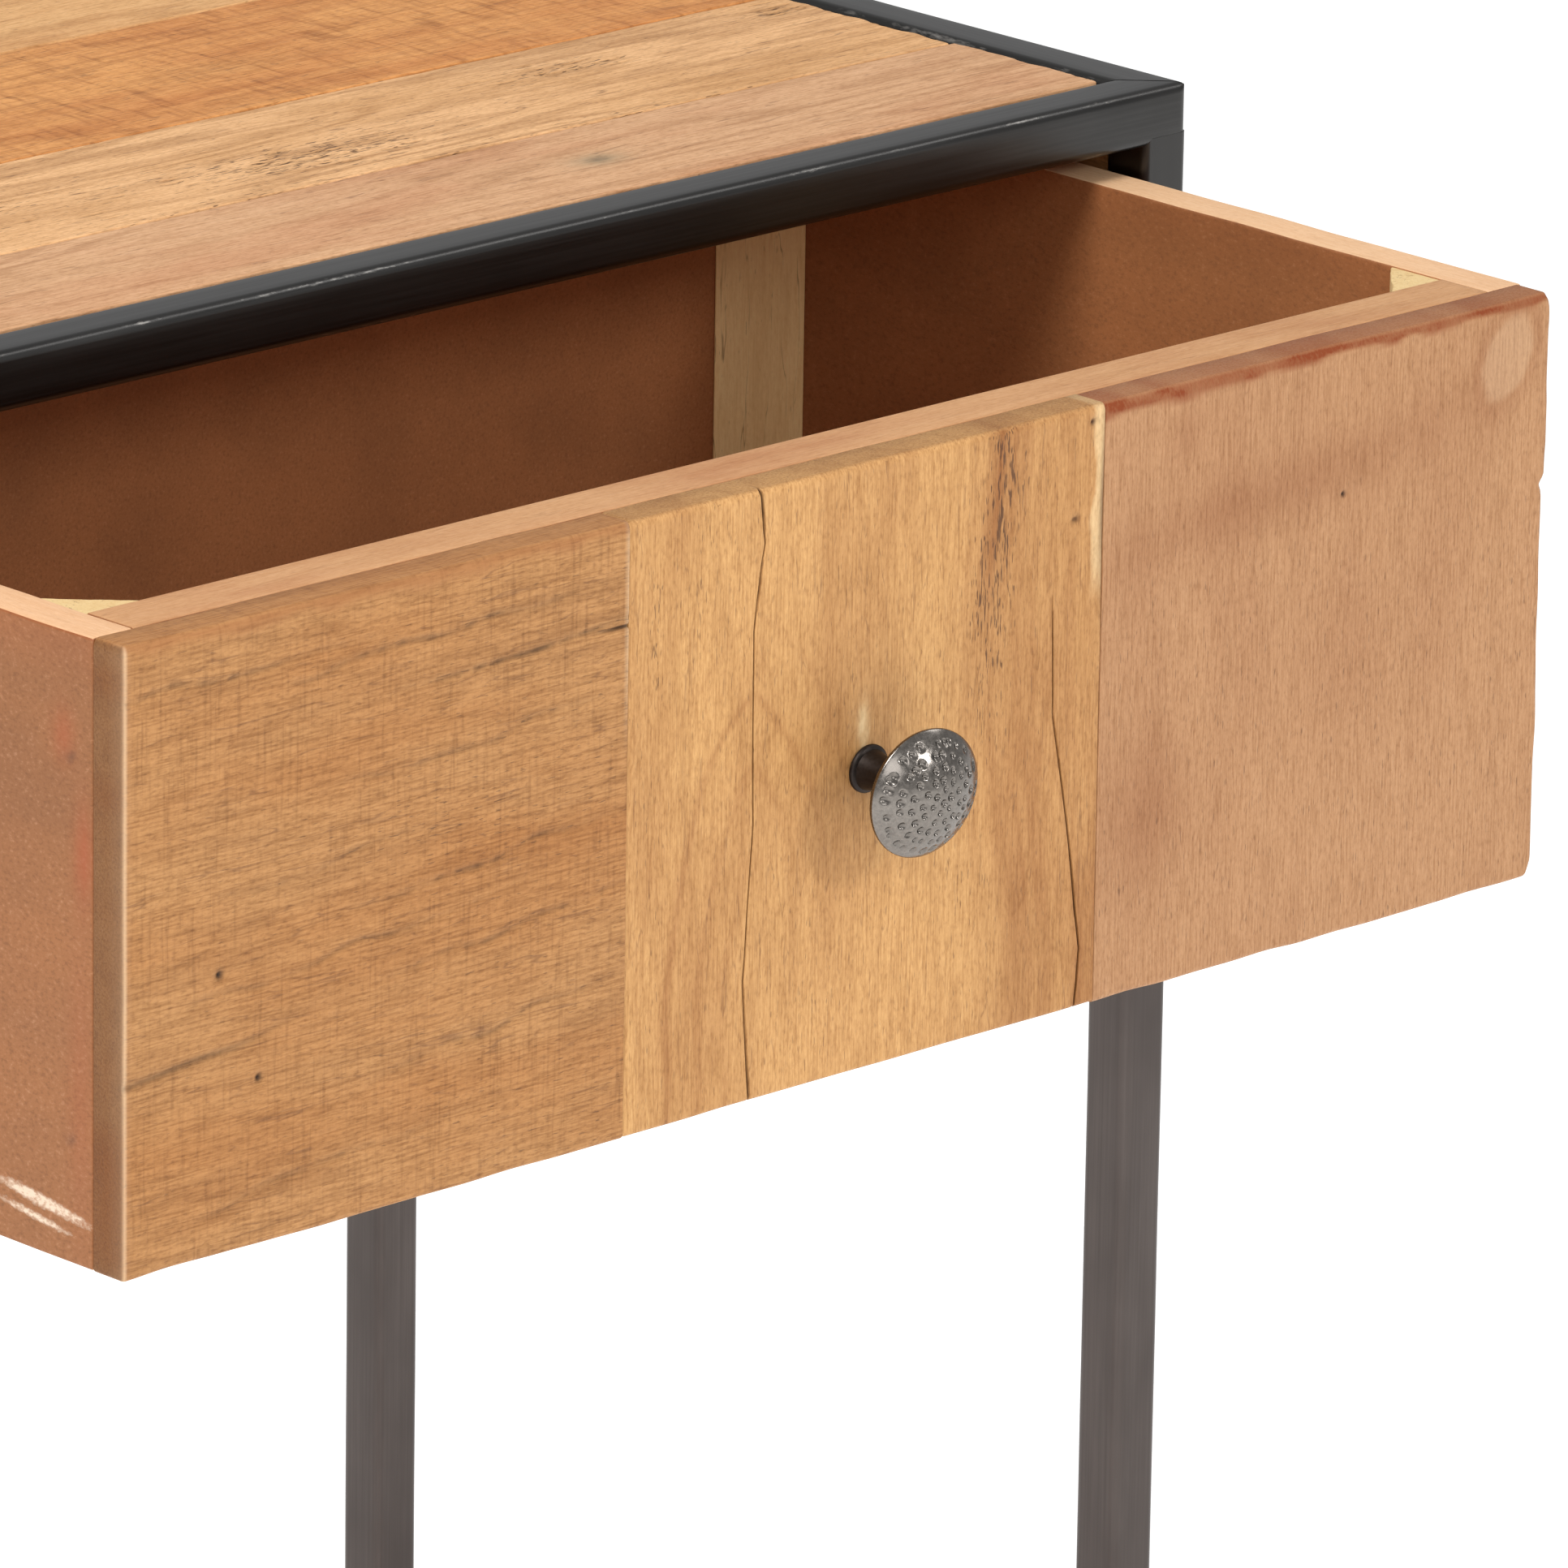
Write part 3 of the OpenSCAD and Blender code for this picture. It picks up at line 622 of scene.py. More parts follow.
def cast_metal(name, tone, rough, grime):
    """Cast zinc alloy, tumbled and darkened like pewter: grey metal with a grainy skin and
    dark grime where a cloth doesn't reach."""
    material, tree, shader, noise, mark = new_material(name, "x", 3, {
        "grain": (0.9, 0.9, 0, 4.0, 0.7)}, ("dark",))
    grain = noise["grain"]
    base = rgba(tone)
    level = ramp(tree, grain, 0.35, 0.65, 0.0, 1.0)
    dirty = maths(tree, "MULTIPLY", mark["dark"], grime)
    colour = layered(tree, dimmed(base, 0.72), ((level, base), (dirty, rgba("#1a1716"))))
    set_surface(tree, shader, colour, (grain, rough - 0.06, rough + 0.1), (grain, 0.4, 0.05),
                Metallic=1.0)
    return material


def moulded_plastic(name):
    """Black polypropylene, moulded: near black with a fine matt grain."""
    material, tree, shader, noise, _ = new_material(name, "x", 1, {
        "grain": (0.5, 0.5, 0, 2.0, 0.5)})
    grain = noise["grain"]
    colour = layered(tree, rgba("#0f0f0f"), [(grain, rgba("#1d1d1d"))])
    fill(shader, {
        "Base Color": colour, "Roughness": 0.55,
        "Normal": add(tree, "Bump", {"Height": grain, "Strength": 0.4, "Distance": 0.04 * MM})})
    return material


def dress(node, material):
    """Gives a CAD node's own slots a material."""
    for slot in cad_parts[node].material_slots:
        slot.material = material


# ---- marks on the boards ----

# long wavering dark lines: how far down, rise along the board, middle, half length, depth
FACE_LINES = [(12, -0.02, 30, 34, 0.4), (17, -0.04, 95, 40, 0.4), (76, -0.1, 110, 34, 0.4),
              (62, -0.08, 60, 26, 0.3), (84, -0.09, 70, 40, 0.35), (28, -0.05, 125, 30, 0.5),
              (118, -0.12, 110, 30, 0.3), (95, -0.12, 120, 36, 0.35),
              (45, -0.06, 105, 40, 0.25), (134, -0.1, 60, 40, 0.25)]


def uneven(u, v, size, seed, waves, rise=0.2):
    """Wavy upper and lower edges of a face board, with waves of the given lengths."""
    return (rise * drift(u / waves[0], 3, seed) * step_up(10, 0, size[1] - v)
            - 0.3 * step_up(10, 0, v) * drift(u / waves[1], 5, seed - 5))


def marks_face_left(u, v, size):
    """Golden brown board: a short split at its right edge, two nail holes, dark streaks and
    a worn upper edge."""
    drop = size[1] - v
    right = size[0] - u
    dark = spots(u, drop, ((29, 83, 1.1, 1.1, 1), (41, 110, 1.0, 1.0, 1),
                           (size[0] - 2.5, 25, 6.0, 0.5, 0.9)))
    slope = 104 - 0.13 * u + 2 * drift(u / 18, 0, 14)
    dark = np.maximum(dark, 0.55 * spot(drop, u, slope, 18, 0.9, 26))
    for key, (fall, lean, at, half, weight) in enumerate(FACE_LINES, 1):
        wander = fall + lean * (u - 77) + 1.6 * drift(u / 14, key, 16)
        thin = spot(drop, u, wander, at, 0.75, half) * (0.55 + 0.45 * drift(u / 3, key, 17))
        dark = np.maximum(dark, min(1, 1.5 * weight) * thin)
    tint = np.maximum(0.55 * step_up(4.5, 0.5, drop + 1.2 * drift(u / 9, 0, 4)),
                      0.25 * step_up(3, 0, u))
    bands = spots(drop, u, ((18 + 3 * drift(u / 30, 1, 2), 40, 7, 70, 0.5),
                            (66 + 5 * drift(u / 40, 2, 2), 110, 9, 45, 0.45),
                            (125, 90, 8, 60, 0.4)), np.add)
    smudge = np.clip(0.2 + 0.9 * drift(drop / 9, 1, 41), 0, 1)
    bands = bands + 2.6 * step_up(1.2, 0, u) * smudge
    return {"dark": dark, "deep": 0.9 * dark, "tint": tint, "warm": bands * 0.5,
            "pale": 0.5 * step_up(1.6, 0.4, u) + 0.3 * step_up(1.4, 0.2, right)
            * step_up(60, 30, drop),
            "dash": 0.08 + 0.15 * step_up(50, 120, u) + 0.2 * spot(u, drop, 90, 60, 60, 12),
            "u": 0.1 * step_up(1, 0, right),
            "v": uneven(u, v, size, 8, (24, 15), 0.25)}


def marks_face_middle(u, v, size):
    """Golden board with a full-height crack in its crown figure, a wane strip by its right
    seam and dark dashed streaks."""
    drop = size[1] - v
    right = size[0] - u
    wane = step_up(3.4 + 0.9 * drift(drop / 7, 0, 6), 2.4, right) * step_up(50, 38, drop)
    dash = spots(u, drop, ((size[0] - 33, 30, 8, 46, 1.0), (9, 30, 3, 22, 0.5),
                           (21, 28, 3, 20, 0.4)))
    dash = np.maximum(dash, 0.1 + 0.15 * drift(u / 8, drop / 60, 19))
    dark = spots(u, drop, ((size[0] - 3.7, 4, 0.8, 0.8, 1), (size[0] - 7, 27, 0.8, 0.8, 1)))
    seam = spot(right, drop, 0.2, 25, 0.8, 20) * 0.7
    # nested arches about the crack, closing 49 mm below the upper edge
    away = u - 40 - 0.8 * drift(drop / 20, 0, 15)
    crown = np.zeros(len(u))
    for top, reach, weight in ((49, 27, 0.55), (30, 36, 0.2), (66, 17, 0.3), (88, 9, 0.25)):
        side = reach * (1 - np.exp(-np.maximum(drop - top, 0) / 22))
        arm = np.exp(-((np.abs(away) - side) / 1.5) ** 2) * step_up(top - 1, top + 2, drop)
        crown = np.maximum(crown, weight * arm * np.where(away > 0, step_up(110, 60, drop), 1))
    bands = 0.9 * spot(u, drop, size[0] - 33, 10, 9, 85)
    bands = bands * (0.75 + 0.4 * drift(u / 1.6, drop / 30, 28))
    bands = bands + 0.6 * step_up(size[0] - 52, size[0] - 30, u)
    bands = bands + 0.3 * spot(u, drop, size[0] - 12, 130, 14, 30)
    bands = bands * (0.8 + 0.3 * drift(u / 2.2, drop / 60, 27))
    scrape = spot(u, drop, size[0] / 2 + 0.5, 66, 1.6, 6) * (0.6 + 0.5 * drift(u, drop / 1.5, 33))
    return {"dark": np.maximum(dark, seam), "deep": 0.8 * dark + 0.2 * seam, "dash": dash,
            "tint": np.clip(0.5 * wane + 1.4 * scrape, 0, 1),
            "warm": np.clip(0.6 * bands + 0.6 * crown, 0, 1),
            "u": -0.1 * step_up(1, 0, u) + 0.1 * step_up(1, 0, right),
            "v": uneven(u, v, size, 18, (20, 17))}


def marks_face_right(u, v, size):
    """Pinkish board: red band on its worn upper edge, pale oval patch, uneven right end."""
    drop = size[1] - v
    right = size[0] - u
    band = step_up(1.0, -0.6, drop - (3.6 - 2.2 * u / size[0]) + 0.9 * drift(u / 7, 0, 5))
    band = band * (0.85 + 0.25 * drift(u / 5, drop / 3, 6))
    edge = 0.9 * step_up(46, 49, drop) + 0.4 * drift(drop / 11, 0, 9)
    edge += 0.8 * spot(drop, 0, 48.5, 0, 1.6, 1) + 1.2 * step_up(6, 0, drop)
    edge += 1.5 * step_up(size[1] - 5, size[1], drop)
    dark = spot(u, drop, size[0] - 72, 38, 0.7, 0.7)
    reach = np.hypot((right - 15 - 0.25 * (drop - 14)) / 9.5, (drop - 14) / 11.5)
    reach = reach + 0.06 * drift(u / 4, drop / 4, 44)
    rim = np.exp(-((reach - 1.1) / 0.2) ** 2) * (0.6 + 0.5 * drift(u / 6, drop / 6, 45))
    bands = spots(u, drop, ((16, 106, 17, 20, 0.45), (84, 80, 20, 22, 0.25),
                            (60, 40 - 0.12 * u, 60, 9, 0.4), (28, 12, 5, 9, 0.3)), np.add)
    return {"dark": dark, "deep": 0.8 * dark + 0.4 * band * step_up(3.5, 0, drop),
            "u": -np.maximum(edge, 0) * step_up(6, 0, right) - 0.1 * step_up(1, 0, u),
            "v": uneven(u, v, size, 28, (26, 12)),
            "warm": np.clip(bands + 0.3 * rim, 0, 1), "pale": 0.12 * step_up(1.0, 0.8, reach),
            "dash": 0.2 * step_up(20, 60, drop), "tint": band}


def ragged(u, v, size, seed, back=0.0):
    """Uneven long edges and ends of a top board."""
    ends = np.minimum(u, size[0] - u)
    sides = np.minimum(v, size[1] - v)
    sign_u = np.where(u < size[0] / 2, 1.0, -1.0)
    sign_v = np.where(v < size[1] / 2, 1.0, -1.0)
    rough_u = 0.5 + 0.5 * drift(v / 6.5, sign_u * 3 + 5, seed) + 0.25 * drift(v / 1.9, 2, seed + 1)
    rough_v = 0.25 + 0.3 * drift(u / 19, sign_v * 3 + 5, seed + 2)
    rough_v = rough_v + 0.18 * drift(u / 4.5, sign_v, seed + 3)
    return {"u": sign_u * np.maximum(rough_u + back * (sign_u < 0), 0) * step_up(7, 0, ends),
            "v": sign_v * np.maximum(rough_v, 0) * step_up(5, 0, sides)}


def marks_top_1(u, v, size):
    """Pinkish board with a grey green stain about a small knot."""
    return {**ragged(u, v, size, 31, 1.2), "dark": 0.45 * spot(u, v, 318, 25, 3.2, 2.2),
            "tint": 0.6 * spot(u, v, 318, 25, 8, 5), "dash": 0.3 * spot(u, v, 318, 25, 40, 12)}


def marks_top_2(u, v, size):
    """Yellow board with worm-eaten patches."""
    eaten = spots(u, v, ((268, 22, 44, 12, 0.9), (372, 45, 22, 7, 0.75), (452, 52, 14, 6, 0.7),
                         (150, 30, 70, 14, 0.45)), np.add)
    eaten = eaten + 0.5 * step_up(9, 1, v) * (0.5 + 0.5 * drift(u / 25, 0, 43))
    holes = np.zeros(len(u))
    rng = np.random.RandomState(45)
    for at_u, at_v, spread_u, spread_v, count in ((268, 22, 40, 9, 26), (372, 45, 18, 5, 12),
                                                 (452, 52, 12, 5, 9), (200, 14, 90, 12, 12)):
        for _ in range(count):
            cu = at_u + rng.normal() * spread_u * 0.6
            cv = at_v + rng.normal() * spread_v * 0.6
            long = rng.uniform(1.5, 6.5)
            holes = np.maximum(holes, rng.uniform(0.5, 1) * spot(u, v, cu, cv, long, 0.7))
    holes = holes * step_up(0.2, 0.6, holes)
    return {**ragged(u, v, size, 41, 2.4), "dash": np.clip(eaten, 0, 1), "dark": 0.85 * holes,
            "deep": 0.7 * holes}


def marks_open_pores(seed, most):
    """Marks of a top board with a few open pores here and there."""
    return lambda u, v, size: {**ragged(u, v, size, seed, 0.6), "dash": most * (
        0.5 + 0.5 * drift(u / 60, v / 20, seed + 1))}


def marks_plain(u, v, size):
    """Slight unevenness of an ordinary board's edges."""
    sides = np.minimum(v, size[1] - v)
    sign = np.where(v < size[1] / 2, 1.0, -1.0)
    return {"v": sign * 0.12 * (1 + drift(u / 21, sign, 71)) * step_up(5, 0, sides)}


def marks_side_outer(u, v, size):
    """Outer face of the drawer's side: whitish scrapes low down, a fine line by the face."""
    drop = size[1] - v
    far = size[0]
    fall = 0.12 * (far - 17 - u)
    scrape = spots(v, u, ((12.5 + fall, far - 17, 1.6, 17, 1), (8 + fall, far - 20, 1.1, 14, 0.8)),
                   np.add)
    line = 0.8 * spot(u, v, far - 2.2, 40, 0.35, 60) * (0.6 + 0.4 * drift(v / 4, 0, 75))
    nails = spots(u, v, [(at_u, at_v, 1.1, 1.1, 1) for at_u in (far - 8, 6)
                         for at_v in (30, size[1] - 30)])
    warm = spots(u, drop, ((far - 10, 25, 3.5, 6, 0.6), (far - 3, 52, 3, 11, 0.8),
                           (far - 4, 110, 4, 30, 0.3)), np.add)
    warm = warm + 0.35 * step_up(1, 0, drop) * step_up(far - 150, far - 20, u)
    warm = warm + 0.15 * step_up(16, 0, drop)
    return {**marks_plain(u, v, size), "tint": np.clip(scrape * 1.3 + line, 0, 1),
            "warm": np.clip(warm, 0, 1), "dark": 0.75 * nails, "deep": 0.5 * nails}


# ---- pieces ----

CRACK_MAIN = [(0, 1.7, 1.0), (6, 2.4, 0.9), (13, 3.1, 0.5), (23, 1.6, 0.7), (34, 0, 0.55),
              (59, 0, 0.5), (82, 0.5, 0.5), (102, -1, 0.35), (120, -2, 0.6), (138, -0.6, 0.7),
              (149, 0.3, 0.9)]
CRACK_SECOND = [(0, 0, 0.0), (44, -5.6, 0.0), (50, -5.4, 0.25), (74, -4.6, 0.4),
                (96, -0.2, 0.55), (109, 2.2, 0.6), (125, 4.6, 0.8), (135, 6.2, 0.6),
                (148, 5.1, 0.8), (150, 5.0, 0.8)]


class SIDETABLE_OT_frame(bpy.types.Operator):
    """Build the welded frame: top rails, legs, lower rails and the bars under the top."""

    bl_idname = "side_table.frame"
    bl_label = "Frame"

    def execute(self, context):
        tones = context.scene.side_table_steel
        # the rails get the darker steel colour, which is painted shade; the legs keep the lighter
        # one
        steel = {a: lacquered_steel(f"lacquered_steel_along_{a}", a, 4.0 + i * 9, tone)
                 for i, (a, tone) in enumerate((("x", tones.rails), ("y", tones.rails),
                                                ("z", tones.dark)))}
        plastic = moulded_plastic("moulded_polypropylene")
        for end, axis, outer, seed, worn in (
                ("front", 0, (1, -1), 3, 0.55), ("rear", 0, (1, 1), 4, 0.6),
                ("left", 1, (0, -1), 5, 0.6), ("right", 1, (0, 1), 6, 0.7)):
            tube(f"rail_top_{end}", f"top_rail_{end}", axis, steel["xyz"[axis]], outer, seed,
                 worn)
        for end in ("front", "rear"):
            tube(f"rail_low_{end}", f"low_rail_{end}", 0, steel["x"], seed=8)
            for hand in ("left", "right"):
                tube(f"leg_tube_{end}_{hand}", f"leg_{end}_{hand}", 2, steel["z"],
                     seed=len(end + hand), grow=2.2)
                dress(f"foot_{end}_{hand}", plastic)
        for hand in ("left", "right"):
            tube(f"rail_low_{hand}", f"low_rail_{hand}", 1, steel["y"], seed=9)
            dress(f"top_support_{hand}", steel["y"])
        for node in ("side_tabs", "back_tabs"):
            dress(node, steel["z"])
        return {"FINISHED"}


class SIDETABLE_OT_top(bpy.types.Operator):
    """Lay the four reclaimed boards of the top."""

    bl_idname = "side_table.top"
    bl_label = "Top boards"

    def execute(self, context):
        tones = context.scene.side_table_wood
        finishes = (
            ("mango_pink", "wood_pink", tones.top_1, 11, marks_top_1, (2.4, 1.2), dict(
                deep=0.62, ring=24, figure=0.6, pores=0.3, blotch=0.55, warm="#c2875f",
                tint="#8d8468", streak=0.5)),
            ("mango_worm_eaten", "wood_yellow", tones.top_2, 23, marks_top_2, (1.5, 0.6), dict(
                deep=0.56, ring=20, figure=0.7, pores=0.55, blotch=0.45, warm="#c08a50",
                streak=0.6)),
            ("acacia_orange", "wood_orange", tones.top_3, 37, marks_open_pores(51, 0.3),
             (2.4, 1.6), dict(
                deep=0.58, ring=24, figure=0.6, pores=0.4, saw=0.75, saw_mm=2.4, blotch=0.45,
                warm="#b5652a", streak=0.5)),
            ("mango_pale", "wood_pale", tones.top_4, 47, marks_open_pores(61, 0.2),
             (2.4, 1.6), dict(
                deep=0.64, ring=26, figure=0.55, pores=0.3, blotch=0.45, warm="#cb8f57",
                streak=0.4)),
        )
        for number, (name, slot, tone, seed, marks, step, looks) in enumerate(finishes, 1):
            board(f"top_plank_{number}", f"top_board_{number}", "+z",
                  [wood(name, tone, "x", seed, **looks)], "table", step=step,
                  edges=(0.7, 0.7, 0.5, 0.5), front=0.6, marks=marks)
        return {"FINISHED"}


class SIDETABLE_OT_sides(bpy.types.Operator):
    """Set the side boards and the back panel inside the frame."""

    bl_idname = "side_table.sides"
    bl_label = "Side boards and back"

    def execute(self, context):
        tones = context.scene.side_table_wood
        for key, side, tone, slot, seed in (
                ("left_front", "-x", tones.face_right, "wood_pink_brown", 5),
                ("left_rear", "-x", tones.face_middle, "wood_golden", 6),
                ("right_front", "+x", tones.face_left, "wood_golden_brown", 7),
                ("right_rear", "+x", tones.top_3, "wood_orange", 8)):
            timber = wood(f"mango_side_{key}", tone, "y", seed * 7, ring=26, figure=0.55,
                          pores=0.4, saw=0.35)
            board(f"side_plank_{key}", f"side_board_{key}", side, [timber], "table",
                  step=(2.2, 2.2), marks=marks_plain, far=True)
        back = stained_board("stained_board_back", tones.drawer_board, 5)
        board("back_sheet", "back_panel", "+y", [back], "table",
              step=(6, 6), far=True)
        return {"FINISHED"}


class SIDETABLE_OT_runners(bpy.types.Operator):
    """Finish the plain runners, guides and stops."""

    bl_idname = "side_table.runners"
    bl_label = "Runners"

    def execute(self, context):
        plain = wood("mango_plain", "#d8b184", "y", 3, ring=18, figure=0.4, pores=0.3, saw=0.4)
        for node in ("runner_left", "runner_right", "guide_left", "guide_right",
                     "drawer_stops"):
            dress(node, plain)
        return {"FINISHED"}


class SIDETABLE_OT_face(bpy.types.Operator):
    """Put the three reclaimed boards on the drawer front."""

    bl_idname = "side_table.face"
    bl_label = "Drawer face"

    def execute(self, context):
        tones = context.scene.side_table_wood
        edge = tones.edge / MM
        low, high = corners("face_board_middle")
        width = high[0] - low[0]
        tall = high[2] - low[2]
        left = wood("acacia_golden_brown", tones.face_left, "x", 61, deep=0.52, ring=12,
                    lines=5, figure=0.4, pores=0.3, saw=0.45, saw_mm=1.1, blotch=0.4,
                    streak=0.55, streak_mm=7.0, fine=0.6, warm="#a4672f", tint="#9a6238",
                    end=0.42)
        board("face_plank_left", "face_board_left", "-y", [left], "drawer",
              step=(1.4, 0.65), edges=(edge, 0.15, 1.2, 2.4), front=edge,
              fine_u=(29, 41), fine_v=(tall - 83, tall - 110, tall - 25),
              marks=marks_face_left)
        middle = wood("mango_golden", tones.face_middle, "z", 83, deep=0.6, ring=20,
                      figure=0.3, pores=0.3, blotch=0.3, streak=0.45, streak_mm=5.0,
                      fine=0.55, warm="#8d5426", tint="#ecd0a0", crack="#4a2b17")
        board("face_plank_middle", "face_board_middle", "-y", [middle], "drawer",
              step=(0.8, 1.4), edges=(0.15, 0.25, 1.2, 2.2), front=edge,
              cracks=((40.0, CRACK_MAIN, 0.55, 1.6), (width - 11.0, CRACK_SECOND, 0.75, 1.6)),
              fine_u=(width - 3.7,), fine_v=(tall - 4, tall - 27), marks=marks_face_middle)
        right = wood("acacia_pink_brown", tones.face_right, "z", 97, deep=0.62, ring=40,
                     figure=0.15, pores=0.25, blotch=0.2, streak=0.1, fine=0.55,
                     warm="#8c5632", tint="#80380f", end=1.0)
        board("face_plank_right", "face_board_right", "-y", [right], "drawer",
              step=(1.4, 1.4), edges=(0.2, 1.6, 1.4, 2.6), front=edge,
              fine_u=(width - 72,), fine_v=(tall - 38, tall - 48), marks=marks_face_right)
        return {"FINISHED"}


class SIDETABLE_OT_drawer_box(bpy.types.Operator):
    """Build the drawer behind its face: inner front, sides, back and bottom."""

    bl_idname = "side_table.drawer_box"
    bl_label = "Drawer box"

    def execute(self, context):
        tones = context.scene.side_table_wood
        brown = stained_board("stained_board_drawer", tones.drawer_board, 2, "y")
        outer = stained_board("stained_board_outside", tones.drawer_outside, 8, "y")
        edge = wood("mango_front_edge", "#c9986b", "x", 13, ring=20, figure=0.3, pores=0.2,
                    blotch=0.5, warm="#a86a42", deep=0.72, fine=0.35, streak=0.2)
        edge_y = wood("mango_bare_edge", tones.drawer_edge, "y", 17, ring=20, figure=0.2,
                      pores=0.15, blotch=0.2, warm="#cf9468", deep=0.78, fine=0.25, streak=0.1)
        board("inner_front", "sub_front", "+y", [brown, edge], "drawer",
              step=(3, 3), edges=(0.3, 0.3, 0.6, 1.0), regions={3: 1, 1: 1})
        for hand, side in (("left", "-x"), ("right", "+x")):
            board(f"drawer_wall_{hand}", f"drawer_side_{hand}", side, [outer, edge_y, brown],
                  "drawer", step=(2.2, 2.2), edges=(0.6, 0.6, 0.7, 0.9),
                  fine_v=(8, 12.5), marks=marks_side_outer, far=True, regions={3: 1, 1: 1, 5: 2},
                  replaces=[f"drawer_side_{hand}", "drawer_nails"][:1 + (hand == "left")])
        board("drawer_wall_rear", "drawer_back", "-y", [brown, edge], "drawer",
              step=(4, 4), edges=(0.3, 0.3, 0.7, 0.9), far=True,
              regions={3: 1})
        board("drawer_floor", "drawer_bottom", "+z", [brown], "drawer",
              step=(8, 8), edges=(0.3, 0.3, 0.3, 0.3), front=0.3, rear=0.3, far=True)
        return {"FINISHED"}


class SIDETABLE_OT_blocks(bpy.types.Operator):
    """Glue the triangular blocks into the drawer's corners."""

    bl_idname = "side_table.blocks"
    bl_label = "Corner blocks"

    def execute(self, context):
        tones = context.scene.side_table_wood
        pale = wood("mango_block", tones.block, "z", 29, deep=0.8, ring=9, figure=0.3,
                    pores=0.3, blotch=0.2, warm="#d8a565", fine=0.25, streak=0.6)
        for end in ("front", "rear"):
            for hand in ("left", "right"):
                self.block(end, hand, pale)
        return {"FINISHED"}

    def block(self, end, hand, timber):
        """A prism with soft edges whose square corner sits in the drawer's corner."""
        node = f"block_{end}_{hand}"
        low, high = corners(node)
        sx = 1 if hand == "left" else -1
        sy = 1 if end == "front" else -1
        leg = high[0] - low[0]
        tall = high[2] - low[2]
        nose = 0.5
        inset = 0.3
        outline = [(0, 0), (leg - nose * 2.2, 0), (leg - nose, nose * 0.35), (leg - nose, nose)]
        outline += [(leg * (1 - t), leg * t) for t in np.linspace(0.12, 0.88, 9)]
        outline += [(nose, leg - nose), (nose * 0.35, leg - nose), (0, leg - nose * 2.2)]
        a, b = np.array(outline).T
        rows = np.concatenate([[0, inset], np.linspace(2, tall - 2, 24), [tall - inset, tall]])
        rows = rows[:, None]
        shrink = np.where((rows == 0) | (rows == tall), 1 - inset / leg, 1)
        push = 0.25 * drift(rows / 14, (a - b) / 5, len(node)) * step_up(0, 3, np.minimum(a, b))
        points = np.stack([(low[0] if sx > 0 else high[0]) + sx * (a * shrink + push),
                           (low[1] if sy > 0 else high[1]) + sy * (b * shrink + push),
                           low[2] + rows + 0 * push], -1).reshape(-1, 3)
        make_piece(f"corner_{end}_{hand}", points, skin(len(rows), len(outline), sx * sy > 0),
                   [timber], "drawer", [node])


